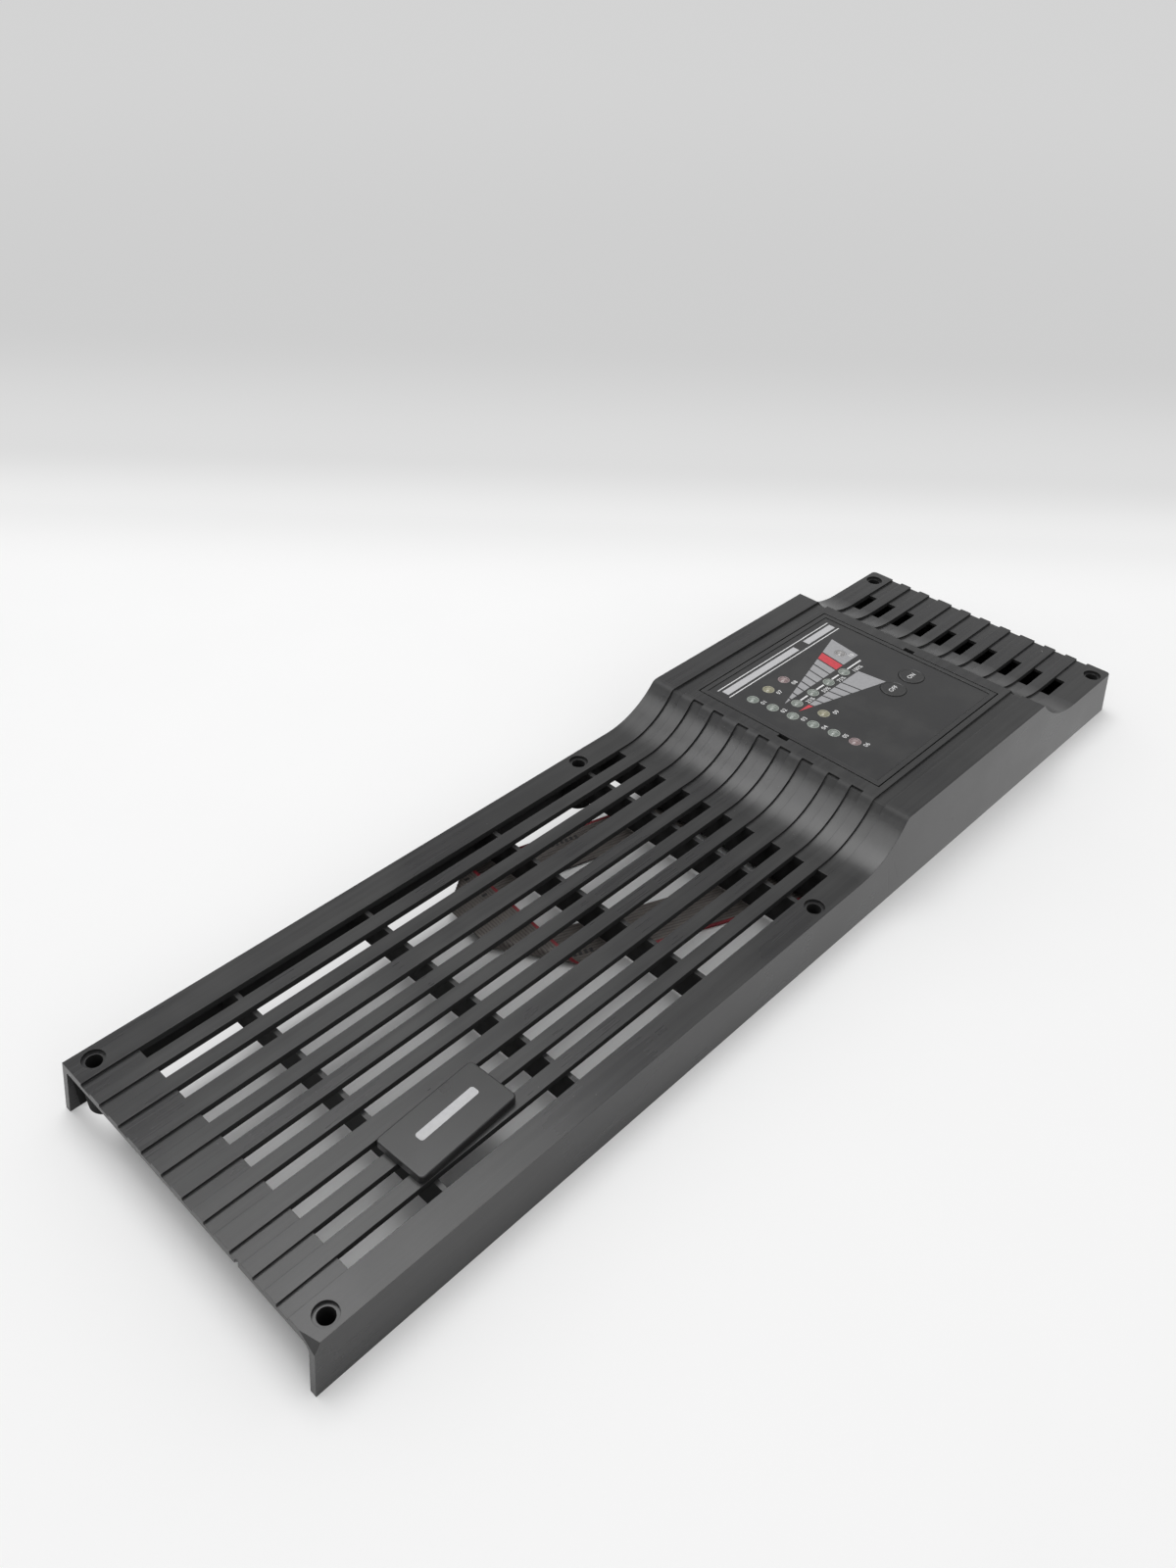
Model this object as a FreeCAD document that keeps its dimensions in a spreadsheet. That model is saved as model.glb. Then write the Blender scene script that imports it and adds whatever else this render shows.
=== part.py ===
import FreeCAD, Part
import Sketcher
import math
import os

# Front bezel of a three-unit rack power supply, lying on its back edge.
# X runs along the face from the plain grille end to the far vent end, Y across it, Z out of the face.
# The origin is at the middle of the back edge, so the whole part stands on Z = 0.

Vector = FreeCAD.Vector
doc = FreeCAD.newDocument("front_bezel")
sheet = doc.addObject("Spreadsheet::Sheet", "Sizes")


class Size:
    # A length with its value and the spreadsheet formula that gives it.

    def __init__(self, value, text):
        self.value = float(value)
        self.text = text

    def __add__(self, other):
        other = as_size(other)
        return Size(self.value + other.value, "(%s + %s)" % (self.text, other.text))

    def __sub__(self, other):
        other = as_size(other)
        return Size(self.value - other.value, "(%s - %s)" % (self.text, other.text))

    def __mul__(self, other):
        other = as_size(other)
        return Size(self.value * other.value, "(%s * %s)" % (self.text, other.text))

    def __truediv__(self, other):
        other = as_size(other)
        return Size(self.value / other.value, "(%s / %s)" % (self.text, other.text))

    def __neg__(self):
        return Size(-self.value, "(0 - %s)" % self.text)

    def __radd__(self, other):
        return as_size(other) + self

    def __rsub__(self, other):
        return as_size(other) - self

    def __rmul__(self, other):
        return as_size(other) * self


def as_size(number):
    if isinstance(number, Size):
        return number
    return Size(number, repr(float(number)))


def root(size):
    return Size(math.sqrt(size.value), "sqrt(%s)" % size.text)


rows = []


def size(alias, value, meaning):
    # Writes one driving dimension into the sheet.
    rows.append(alias)
    row = len(rows)
    sheet.set("A%d" % row, meaning)
    sheet.set("B%d" % row, repr(float(value)))
    sheet.setAlias("B%d" % row, alias)
    return Size(value, "Sizes.%s" % alias)


# Outer form
length = size("length", 446, "face length at grille level")
width = size("width", 129, "face width at grille level")
end_flare = size("end_flare", 3, "lean of each wall end from face to back edge")
side_flare = size("side_flare", 1.2, "draft of each long wall from face to back edge")
grille_rise = size("grille_rise", 20.5, "grille face above the back edge")
plateau_rise = size("plateau_rise", 14.5, "display plateau above the grille face")
plate = size("plate", 2.5, "thickness of the face")
wall = size("wall", 2.5, "thickness of the long walls and of the far end wall")
wall_fillet = size("wall_fillet", 3, "inner radius between face and right wall")
left_fillet = size("left_fillet", 0.8, "inner radius between face and left wall")
far_run = size("far_run", 67.5, "plateau to the far end")
plateau_length = size("plateau_length", 102.7, "plateau along the face")
ramp_radius = size("ramp_radius", 33, "hollow of the ramp up to the plateau")
brow_radius = size("brow_radius", 3, "rounding at the top of the ramp")
valley_radius = size("valley_radius", 44, "hollow behind the plateau")
far_corner = size("far_corner", 2, "rounding of the two upright corners at the far end")

# Grooves, slots and ribs
groove_width = size("groove_width", 5.35, "width of a groove and its slots")
groove_depth = size("groove_depth", 1, "depth of a groove")
groove_pitch = size("groove_pitch", 10.8, "grooves within a group")
group_pitch = size("group_pitch", 12.7, "last groove of a group to the first of the next")
slot_start = size("slot_start", 19.8, "near end to the long slots")
slot_margin = size("slot_margin", 5, "long slots from the foot of the ramp")
vent_margin = size("vent_margin", 20.3, "short far vents from the far end")
vent_length = size("vent_length", 15.2, "short far vents")
rib_thickness = size("rib_thickness", 1.8, "cross ribs behind the slots")
rib_room = size("rib_room", 2.15, "cross ribs above the ribbon that passes under them")
rib_near = size("rib_near", 55.1, "near end to the first rib")
rib_second = size("rib_second", 109.6, "near end to the second rib")
rib_third = size("rib_third", 171.5, "near end to the third rib")

# Screw holes
hole_end = size("hole_end", 7.6, "corner screw holes from the ends")
hole_margin = size("hole_margin", 17.8, "middle screw holes from the far end of the long slots")
hole_inset = size("hole_inset", 5.3, "screw holes from the long edges")
hole_diameter = size("hole_diameter", 5.4, "screw clearance hole")
step_diameter = size("step_diameter", 7.7, "shallow step round a screw hole")
step_depth = size("step_depth", 1.2, "shallow step round a screw hole")
boss_diameter = size("boss_diameter", 11.4, "screw post behind the face")

# Display opening and the square panel that snaps into it
panel_gap = size("panel_gap", 0.6, "gap round the panel")
collar_wall = size("collar_wall", 2, "collar behind the opening")
lip_width = size("lip_width", 3.5, "lip that the panel sits on")
lip_thickness = size("lip_thickness", 2, "lip that the panel sits on")
pry_width = size("pry_width", 5, "notch for a screwdriver blade")
pry_depth = size("pry_depth", 2, "notch for a screwdriver blade")
panel_depth = size("panel_depth", 16, "panel from rim to seat")
panel_wall = size("panel_wall", 2, "skirt of the panel")
panel_face = size("panel_face", 2.4, "face of the panel under the film")
latch_width = size("latch_width", 10, "snap latch on the panel skirt")
latch_height = size("latch_height", 2, "snap latch on the panel skirt")
latch_reach = size("latch_reach", 1.6, "snap latch past the skirt")
latch_drop = size("latch_drop", 8, "top of the latch below the rim")
latch_gap = size("latch_gap", 0.4, "room round the latch in the collar window")
film_size = size("film_size", 84.8, "printed film")
panel_rim = size("panel_rim", 2.1, "rim of the panel round the recess of its film")
film_gap = size("film_gap", 0.2, "film to the edge of its recess")
film_thickness = size("film_thickness", 0.4, "printed film")
film_sink = size("film_sink", 0.2, "film below the rim")

# Lamps, buttons and the board behind them
lamp_diameter = size("lamp_diameter", 5, "lens of an indicator lamp")
lamp_flange = size("lamp_flange", 5.8, "foot of an indicator lamp")
lamp_foot = size("lamp_foot", 1, "height of that foot")
lamp_height = size("lamp_height", 8.7, "indicator lamp over all")
lamp_dome = size("lamp_dome", 1.2, "rise of the lens")
lamp_proud = size("lamp_proud", 0.5, "lens above the film")
lamp_gap = size("lamp_gap", 0.15, "round gap between lens and hole")
column_x = size("column_x", -33.6, "first lamp from the panel middle")
column_y = size("column_y", 25.2, "first lamp from the panel middle")
column_lean = size("column_lean", 1.3, "lean of the lamp column at each lamp")
column_pitch = size("column_pitch", 9.4, "lamps down the column")
row_pitch = size("row_pitch", 10.65, "lamps along the top row")
level_x = size("level_x", -22.4, "first level lamp")
level_y = size("level_y", 10.6, "level lamps")
level_pitch = size("level_pitch", 11.3, "level lamps")
low_lamp_x = size("low_lamp_x", -20.3, "single lamp below the level row")
low_lamp_y = size("low_lamp_y", -1.5, "single lamp below the level row")
load_lamp_x = size("load_lamp_x", 22.4, "single lamp above the level row")
load_lamp_y = size("load_lamp_y", 20.3, "single lamp above the level row")
button_diameter = size("button_diameter", 11, "round button")
button_gap = size("button_gap", 0.2, "round gap between button and hole")
button_proud = size("button_proud", 0.3, "button above the film")
button_flange = size("button_flange", 1, "button keeper rim, past the hole and its height")
button_lift = size("button_lift", 0.2, "keeper rim below the panel face")
stem_diameter = size("stem_diameter", 4, "button stem")
button_x = size("button_x", 15.9, "first button from the panel middle")
button_y = size("button_y", -11.7, "buttons from the panel middle")
button_pitch = size("button_pitch", 14, "between the buttons")
switch_size = size("switch_size", 6, "square push switch")
switch_height = size("switch_height", 3.4, "switch case")
plunger_diameter = size("plunger_diameter", 3.5, "switch plunger")
plunger_proud = size("plunger_proud", 0.6, "plunger above the switch case")
plunger_length = size("plunger_length", 1.2, "plunger over all")
plunger_room = size("plunger_room", 1.6, "depth of the plunger hole")
plunger_gap = size("plunger_gap", 0.3, "round gap in the plunger hole")
board_gap = size("board_gap", 3.7, "lamp board to the panel skirt")
board_thickness = size("board_thickness", 1.6, "lamp board")
post_inset = size("post_inset", 4, "board posts from the edges of the board")
post_diameter = size("post_diameter", 6, "board post")
screw_diameter = size("screw_diameter", 2.8, "board screw")
screw_gap = size("screw_gap", 0.05, "round gap of the screw in its post")
screw_hole = size("screw_hole", 3.2, "screw hole in the board")
screw_head = size("screw_head", 5.6, "board screw head")
screw_head_height = size("screw_head_height", 2, "board screw head")
screw_length = size("screw_length", 5.5, "board screw below the head")
pilot_room = size("pilot_room", 0.5, "hole in the post past the screw's end")

# Header, plug and ribbon
header_x = size("header_x", -12, "board header from the panel middle")
header_clear = size("header_clear", 4.6, "board header from the lip of the opening")
header_wide = size("header_wide", 8.9, "board header")
header_long = size("header_long", 30.4, "board header")
header_tall = size("header_tall", 9.1, "board header")
header_wall = size("header_wall", 1.2, "walls of the board header")
header_floor = size("header_floor", 2.6, "base of the board header")
plug_gap = size("plug_gap", 0.2, "plug in its header")
plug_tall = size("plug_tall", 12.4, "ribbon plug")
pack_long = size("pack_long", 22.9, "resistor pack")
pack_wide = size("pack_wide", 2.5, "resistor pack")
pack_tall = size("pack_tall", 5.1, "resistor pack")
pack_x = size("pack_x", 8, "resistor packs from the panel middle")
pack_pitch = size("pack_pitch", 26, "between the resistor packs")
ribbon_width = size("ribbon_width", 20.3, "sixteen-way ribbon")
ribbon_thickness = size("ribbon_thickness", 0.9, "ribbon")
ribbon_clear = size("ribbon_clear", 0.15, "ribbon above the back edge")
fold_radius = size("fold_radius", 2, "ribbon folds")
ribbon_exit = size("ribbon_exit", 1.8, "ribbon above the lower face of its plug")
riser_level = size("riser_level", 4.1, "level stretch of the ribbon at the plug")
riser_radius = size("riser_radius", 10, "bends of the ribbon as it comes down")
riser_slope = size("riser_slope", 40, "slope of the ribbon as it comes down, degrees")
swing_lead = size("swing_lead", 25.4, "ribbon laid flat to the corner of its swing")
swing_radius = size("swing_radius", 100, "swing of the ribbon")
fold_from_rib = size("fold_from_rib", 18.5, "first fold before the third rib")
fold_from_edge = size("fold_from_edge", 13.35, "first fold from the left edge of the face")
fold_step_x = size("fold_step_x", -3.7, "first fold to second, along the face")
fold_step_y = size("fold_step_y", -41.85, "first fold to second, across the face")
socket_from_rib = size("socket_from_rib", 12.3, "ribbon's end past the last rib")
socket_from_edge = size("socket_from_edge", 26.3, "ribbon's end from the right edge of the face")
socket_long = size("socket_long", 12, "socket at the ribbon's far end, along the ribbon")
socket_wide = size("socket_wide", 27.9, "socket at the ribbon's far end, across it")
socket_tall = size("socket_tall", 6, "socket at the ribbon's far end")
key_long = size("key_long", 6, "polarising key on the socket")
key_wide = size("key_wide", 4.6, "polarising key on the socket")
key_rise = size("key_rise", 1, "polarising key above the socket")

# Badge
badge_x = size("badge_x", 69.6, "near end to the badge pivot")
badge_y = size("badge_y", -36.6, "badge pivot from the middle line")
badge_long = size("badge_long", 39.6, "badge")
badge_wide = size("badge_wide", 20, "badge")
badge_thick = size("badge_thick", 2.8, "badge")
badge_corner = size("badge_corner", 1.5, "badge corner radius")
badge_edge = size("badge_edge", 0.5, "rounding of the badge face edge")
badge_lift = size("badge_lift", 0.2, "badge above the grille strips")
badge_turn = size("badge_turn", 3, "badge turned on its pivot, degrees")
pivot_diameter = size("pivot_diameter", 6, "badge pivot")
pivot_gap = size("pivot_gap", 0.3, "round gap of the pivot in its hole")
pivot_pad = size("pivot_pad", 14, "round pad that holds the pivot")
barb_reach = size("barb_reach", 1, "barb past the pivot hole")
barb_height = size("barb_height", 1.6, "barb under the pad")
split_width = size("split_width", 1.2, "split that lets the barb spring in")

# Damage at the near right corner and on the near edge
chip_along = size("chip_along", 6.6, "chip along the near edge")
chip_back = size("chip_back", 1.8, "chip along the long edge")
chip_down = size("chip_down", 3.6, "chip down the corner")
nick_place = size("nick_place", -29.4, "nick in the near edge from the middle line")
nick_radius = size("nick_radius", 0.9, "nick in the near edge")

past = size("past", 5, "how far a cutter runs past what it cuts")
doc.recompute()

# Levels and places worked out from the sizes
near_end = -length / 2
far_x = length / 2
face_top = grille_rise
plateau_top = grille_rise + plateau_rise
half_width = width / 2
panel_size = film_size + 2 * film_gap + 2 * panel_rim
opening = panel_size + 2 * panel_gap
panel_inner = panel_size - 2 * panel_wall
board_size = panel_inner - 2 * board_gap
post_place = board_size / 2 - post_inset
header_y = opening / 2 - lip_width - header_clear - header_long / 2
panel_seat = plateau_top - panel_depth
film_top = plateau_top - film_sink
film_low = film_top - film_thickness
panel_under = film_low - panel_face
lamp_top = film_top + lamp_proud
board_top = lamp_top - lamp_height
board_low = board_top - board_thickness
hole_y = half_width - hole_inset
rib_top = face_top - plate
rib_low = ribbon_clear + ribbon_thickness + rib_room
plunger_top = board_top + switch_height + plunger_proud
button_hole = button_diameter + 2 * button_gap
lamp_hole = lamp_diameter + 2 * lamp_gap

# Edges of the plateau and feet of the two hollows, then the slots that end before the ramp
plateau_end = far_x - far_run
brow_x = plateau_end - plateau_length
panel_x = plateau_end - plateau_length / 2
ramp_reach = ramp_radius + brow_radius
ramp_x = brow_x - root(2 * ramp_reach * plateau_rise - plateau_rise * plateau_rise)
valley_x = plateau_end + root(2 * valley_radius * plateau_rise - plateau_rise * plateau_rise)
slot_end = ramp_x - slot_margin
slot_length = slot_end - slot_start - near_end
middle_x = slot_end - hole_margin


def tie(thing, place, amount):
    thing.setExpression(place, amount.text)


def put(thing, x, y, z):
    tie(thing, "Placement.Base.x", as_size(x))
    tie(thing, "Placement.Base.y", as_size(y))
    tie(thing, "Placement.Base.z", as_size(z))


def box(name, x, y, z, long, wide, tall):
    # A block given by its middle in plan and its lower face.
    block = doc.addObject("Part::Box", name)
    tie(block, "Length", as_size(long))
    tie(block, "Width", as_size(wide))
    tie(block, "Height", as_size(tall))
    put(block, x - as_size(long) / 2, y - as_size(wide) / 2, z)
    return block


def rod(name, x, y, z, diameter, tall):
    # An upright cylinder given by its axis and its lower face.
    turned = doc.addObject("Part::Cylinder", name)
    tie(turned, "Radius", diameter / 2)
    tie(turned, "Height", as_size(tall))
    put(turned, x, y, z)
    return turned


def group(name, things):
    holder = doc.addObject("Part::Compound", name)
    holder.Links = things
    return holder


def join(name, things):
    fused = doc.addObject("Part::MultiFuse", name)
    fused.Shapes = things
    fused.Refine = True
    return fused


def cut(name, base, tool):
    left = doc.addObject("Part::Cut", name)
    left.Base = base
    left.Tool = tool
    left.Refine = True
    return left


def overlap(name, things):
    shared = doc.addObject("Part::MultiCommon", name)
    shared.Shapes = things
    shared.Refine = True
    return shared


def draw(sketch, points, arcs):
    # Draws a closed outline in a sketch. Each corner is held by two bound distances.
    # arcs maps the number of a stretch to its radius and whether it turns left.
    count = len(points)
    starts = []
    for index in range(count):
        first = Vector(points[index][0].value, points[index][1].value, 0)
        last = Vector(points[(index + 1) % count][0].value, points[(index + 1) % count][1].value, 0)
        if index in arcs:
            radius, left = arcs[index]
            edge = Part.ArcOfCircle(*arc_through(first, last, radius.value, left))
            number = sketch.addGeometry(edge)
            starts.append((number, 1 if left else 2, 2 if left else 1))
        else:
            number = sketch.addGeometry(Part.LineSegment(first, last))
            starts.append((number, 1, 2))
    for index in range(count):
        number, start, end = starts[index]
        after = starts[(index + 1) % count]
        sketch.addConstraint(Sketcher.Constraint("Coincident", number, end, after[0], after[1]))
    for index in range(count):
        number, start, end = starts[index]
        for kind, amount in zip(("DistanceX", "DistanceY"), points[index]):
            held = sketch.addConstraint(Sketcher.Constraint(kind, -1, 1, number, start, amount.value))
            sketch.setExpression("Constraints[%d]" % held, amount.text)
        if index in arcs:
            radius = arcs[index][0]
            held = sketch.addConstraint(Sketcher.Constraint("Radius", number, radius.value))
            sketch.setExpression("Constraints[%d]" % held, radius.text)


def arc_through(first, last, radius, left):
    # The circle and angles of the short arc from first to last.
    chord = last - first
    reach = math.sqrt(radius ** 2 - (chord.Length / 2) ** 2)
    side = Vector(-chord.y, chord.x, 0).normalize()
    centre = (first + last) * 0.5 + side * (reach if left else -reach)
    begin = math.atan2(first.y - centre.y, first.x - centre.x)
    finish = math.atan2(last.y - centre.y, last.x - centre.x)
    circle = Part.Circle(centre, Vector(0, 0, 1), radius)
    return (circle, begin, finish) if left else (circle, finish, begin)


across_turn = FreeCAD.Rotation(Vector(1, 0, 0), 90)
along_turn = FreeCAD.Rotation(Vector(1, 1, 1), 120)


def outline(name, turn, points, arcs):
    sketch = doc.addObject("Sketcher::SketchObject", name)
    sketch.Placement = FreeCAD.Placement(Vector(0, 0, 0), turn)
    draw(sketch, [(as_size(a), as_size(b)) for a, b in points], arcs)
    return sketch


def sweep(name, sketch, direction, begin, end):
    # Pushes an outline along an axis from one place to another.
    pushed = doc.addObject("Part::Extrusion", name)
    pushed.Base = sketch
    pushed.DirMode = "Custom"
    pushed.Dir = direction
    pushed.Solid = True
    tie(pushed, "LengthFwd", as_size(end))
    tie(pushed, "LengthRev", -as_size(begin))
    return pushed


def body(name):
    made = doc.addObject("PartDesign::Body", name)
    doc.recompute()
    return made


def body_sketch(holder, name, role):
    sketch = holder.newObject("Sketcher::SketchObject", name)
    plane = [part for part in holder.Origin.OriginFeatures if part.Role == role][0]
    sketch.AttachmentSupport = [(plane, "")]
    sketch.MapMode = "FlatFace"
    return sketch


def ramp_at(drop):
    # Where the ramp, lowered by drop, meets the lowered plateau.
    fall = ramp_radius - plateau_rise + drop
    return ramp_x + root((ramp_radius + drop) * (ramp_radius + drop) - fall * fall)


def valley_at(drop):
    # Where the far hollow, lowered by drop, meets the lowered plateau.
    fall = valley_radius - plateau_rise + drop
    return valley_x - root((valley_radius + drop) * (valley_radius + drop) - fall * fall)


def lowered_face(name, drop, before, after):
    # Closed side outline along the face lowered by drop, from the points before to the points after.
    points = list(before)
    foot = len(points)
    points.append((ramp_x, face_top - drop))
    points.append((ramp_at(drop), plateau_top - drop))
    points.append((valley_at(drop), plateau_top - drop))
    points.append((valley_x, face_top - drop))
    points.extend(after)
    return outline(name, across_turn, points, {foot: (ramp_radius + drop, True),
                                               foot + 2: (valley_radius + drop, True)})


def make_outer_form():
    # The solid outside of the bezel: the face line pushed across, then drafted at the long walls.
    share = ramp_radius / ramp_reach
    points = [(near_end - end_flare, 0), (near_end, face_top), (ramp_x, face_top)]
    points.append((ramp_x + (brow_x - ramp_x) * share, face_top + ramp_radius * plateau_rise / ramp_reach))
    points.append((brow_x, plateau_top))
    points.append((plateau_end, plateau_top))
    points.append((valley_x, face_top))
    points.append((far_x, face_top))
    points.append((far_x + end_flare, 0))
    arcs = {2: (ramp_radius, True), 3: (brow_radius, False), 5: (valley_radius, True)}
    side = outline("outer_side_outline", across_turn, points, arcs)
    base = half_width + side_flare
    top = half_width - side_flare * plateau_rise / grille_rise
    section = outline("outer_section_outline", along_turn,
                      [(-base, 0), (base, 0), (top, plateau_top), (-top, plateau_top)], {})
    form = overlap("drafted_form", [
        sweep("outer_side", side, Vector(0, 1, 0), -base, base),
        sweep("outer_section", section, Vector(1, 0, 0), near_end - end_flare - past, far_x + end_flare + past)])
    doc.recompute()
    corners = [(number + 1, far_corner.value, far_corner.value) for number, edge in enumerate(form.Shape.Edges)
               if edge.BoundBox.XMin > far_x.value - past.value and edge.BoundBox.YLength < past.value]
    rounded = doc.addObject("Part::Fillet", "outer_form")
    rounded.Base = form
    rounded.Edges = corners
    return rounded


def make_hollow():
    # The open space behind the face: it runs out at the near end and at the back, and stops at the far end wall.
    before = [(near_end - end_flare - past, -past), (near_end - end_flare - past, rib_top)]
    end_lean = end_flare / grille_rise
    end_foot = far_x + end_flare - wall
    after = [(end_foot - end_lean * rib_top, rib_top), (end_foot + end_lean * past, -past)]
    side = lowered_face("hollow_side_outline", plate, before, after)
    base = half_width + side_flare - wall
    lean = side_flare / grille_rise
    low = base + lean * past
    top = base - lean * plateau_top
    section = outline("hollow_section_outline", along_turn,
                      [(-low, -past), (low, -past), (top, plateau_top), (-top, plateau_top)], {})
    return overlap("hollow", [
        sweep("hollow_side", side, Vector(0, 1, 0), -low, low),
        sweep("hollow_section", section, Vector(1, 0, 0), near_end - end_flare - 2 * past,
              far_x + end_flare + past)])


groove_places = [groove_pitch / 2, groove_pitch * 1.5, groove_pitch * 1.5 + group_pitch,
                 groove_pitch * 2.5 + group_pitch, groove_pitch * 3.5 + group_pitch]
groove_places = [-place for place in reversed(groove_places)] + groove_places


def make_grooves():
    # Ten shallow grooves. The outer two run the whole length, the others stop at the plateau.
    low = face_top - groove_depth
    high = plateau_top + past
    near = near_end - past
    far = far_x + past
    whole = lowered_face("groove_outline", groove_depth, [(near, high), (near, low)], [(far, low), (far, high)])
    near_part = outline("near_groove_outline", across_turn, [
        (near, high), (near, low), (ramp_x, low), (ramp_at(groove_depth), plateau_top - groove_depth),
        (brow_x, plateau_top - groove_depth), (brow_x, high)], {2: (ramp_radius + groove_depth, True)})
    deep = valley_radius + groove_depth
    run = valley_x - plateau_end
    far_part = outline("far_groove_outline", across_turn, [
        (plateau_end, high), (plateau_end, face_top + valley_radius - root(deep * deep - run * run)),
        (valley_x, low), (far, low), (far, high)], {1: (deep, True)})
    cutters = []
    for number, place in enumerate(groove_places):
        outside = number in (0, len(groove_places) - 1)
        for part in ([whole] if outside else [near_part, far_part]):
            cutters.append(sweep("groove_%d_%s" % (number + 1, part.Name), part, Vector(0, 1, 0),
                                 place - groove_width / 2, place + groove_width / 2))
    return group("grooves", cutters)


def make_slots():
    # The long slots of the grille and the short vents at the far end.
    tall = plateau_rise + plate + past
    cutters = []
    for number, place in enumerate(groove_places):
        cutters.append(box("slot_%d" % (number + 1), slot_end - slot_length / 2, place, rib_top,
                           slot_length, groove_width, tall))
        cutters.append(box("vent_%d" % (number + 1), far_x - vent_margin - vent_length / 2, place, rib_top,
                           vent_length, groove_width, tall))
    return group("slots", cutters)


def make_display_opening():
    hole = box("display_hole", panel_x, 0, panel_seat, opening, opening, panel_depth + past)
    through = box("display_through", panel_x, 0, 0, opening - 2 * lip_width, opening - 2 * lip_width,
                  plateau_top)
    notches = box("pry_notches", panel_x, 0, plateau_top - plate - past, opening + 2 * pry_depth, pry_width,
                  plate + 2 * past)
    windows = box("latch_windows", panel_x, 0, plateau_top - latch_drop - latch_height - latch_gap,
                  opening + 2 * collar_wall + past, latch_width + 2 * latch_gap, latch_height + 2 * latch_gap)
    return join("display_opening", [hole, through, notches, windows])


def make_inner_parts(outer):
    # Ribs, screw posts and the display collar behind the face, trimmed to the outer form.
    tall = rib_top - rib_low
    places = [near_end + rib_near, near_end + rib_second, near_end + rib_third, middle_x,
              slot_end + rib_thickness / 2]
    parts = [box("rib_%d" % (number + 1), x, 0, rib_low, rib_thickness, width - wall, tall)
             for number, x in enumerate(places)]
    parts += [rod("screw_post_%d" % (number + 1), x, y, 0, boss_diameter, face_top - groove_depth)
              for number, (x, y) in enumerate(hole_places)]
    low = panel_seat - lip_thickness
    parts.append(box("collar", panel_x, 0, low, opening + 2 * collar_wall, opening + 2 * collar_wall,
                     plateau_top - plate / 2 - low))
    return overlap("inner_parts", [join("inner_blocks", parts), outer])


hole_places = [(x, y) for x in (near_end + hole_end, middle_x, far_x - hole_end) for y in (-hole_y, hole_y)]


def make_screw_holes():
    cutters = []
    for number, (x, y) in enumerate(hole_places):
        shank = rod("screw_hole_%d" % (number + 1), x, y, -past, hole_diameter, face_top + 2 * past)
        step = rod("screw_step_%d" % (number + 1), x, y, face_top - step_depth, step_diameter, step_depth + past)
        cutters.append(join("screw_cut_%d" % (number + 1), [shank, step]))
    return group("screw_cuts", cutters)


def make_damage():
    # A chip off the near right corner and a nick in the near edge, as the real one has.
    x = near_end.value
    y = -half_width.value
    z = face_top.value
    more = past.value
    along = Vector(x, y + chip_along.value, z)
    back = Vector(x + chip_back.value, y, z)
    down = Vector(x - end_flare.value * chip_down.value / z, y, z - chip_down.value)
    away = Vector(x - more, y - more, z + more)
    faces = [Part.Face(Part.makePolygon([a, b, c, a]))
             for a, b, c in ((along, back, down), (along, back, away), (back, down, away), (down, along, away))]
    chip = doc.addObject("Part::Feature", "corner_chip")
    chip.Shape = Part.makeSolid(Part.makeShell(faces))
    nick = rod("edge_nick", near_end - nick_radius / 2, nick_place, face_top - plate - past,
               2 * nick_radius, plate + 2 * past)
    return group("damage", [chip, nick])


def make_bezel_frame():
    outer = make_outer_form()
    shell = cut("shell", outer, make_hollow())
    doc.recompute()
    shell = round_wall_corners(shell)
    pad = rod("pivot_pad", near_end + badge_x, badge_y, rib_top, pivot_pad, plate)
    hole = rod("pivot_hole", near_end + badge_x, badge_y, rib_top - past, pivot_diameter + 2 * pivot_gap,
               plate + 2 * past)
    frame = cut("grooved_shell", shell, make_grooves())
    frame = cut("slotted_shell", frame, make_slots())
    frame = join("frame_blank", [frame, make_inner_parts(outer), pad])
    frame = cut("frame_with_display_hole", frame, make_display_opening())
    frame = cut("frame_with_screw_holes", frame, make_screw_holes())
    frame = cut("frame_with_pivot", frame, hole)
    return cut("bezel_frame", frame, make_damage())


def round_wall_corners(shell):
    # Rounds the long inner corners between the face and the walls along the grille.
    level = rib_top.value
    edges = []
    for number, edge in enumerate(shell.Shape.Edges):
        reach = edge.BoundBox
        flat = abs(reach.ZMin - level) < 0.01 and reach.ZLength < 0.01
        if flat and reach.XLength > slot_length.value / 2 and reach.YLength < 0.01:
            radius = left_fillet.value if reach.YMin > 0 else wall_fillet.value
            edges.append((number + 1, radius, radius))
    rounded = doc.addObject("Part::Fillet", "rounded_shell")
    rounded.Base = shell
    rounded.Edges = edges
    return rounded


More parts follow.
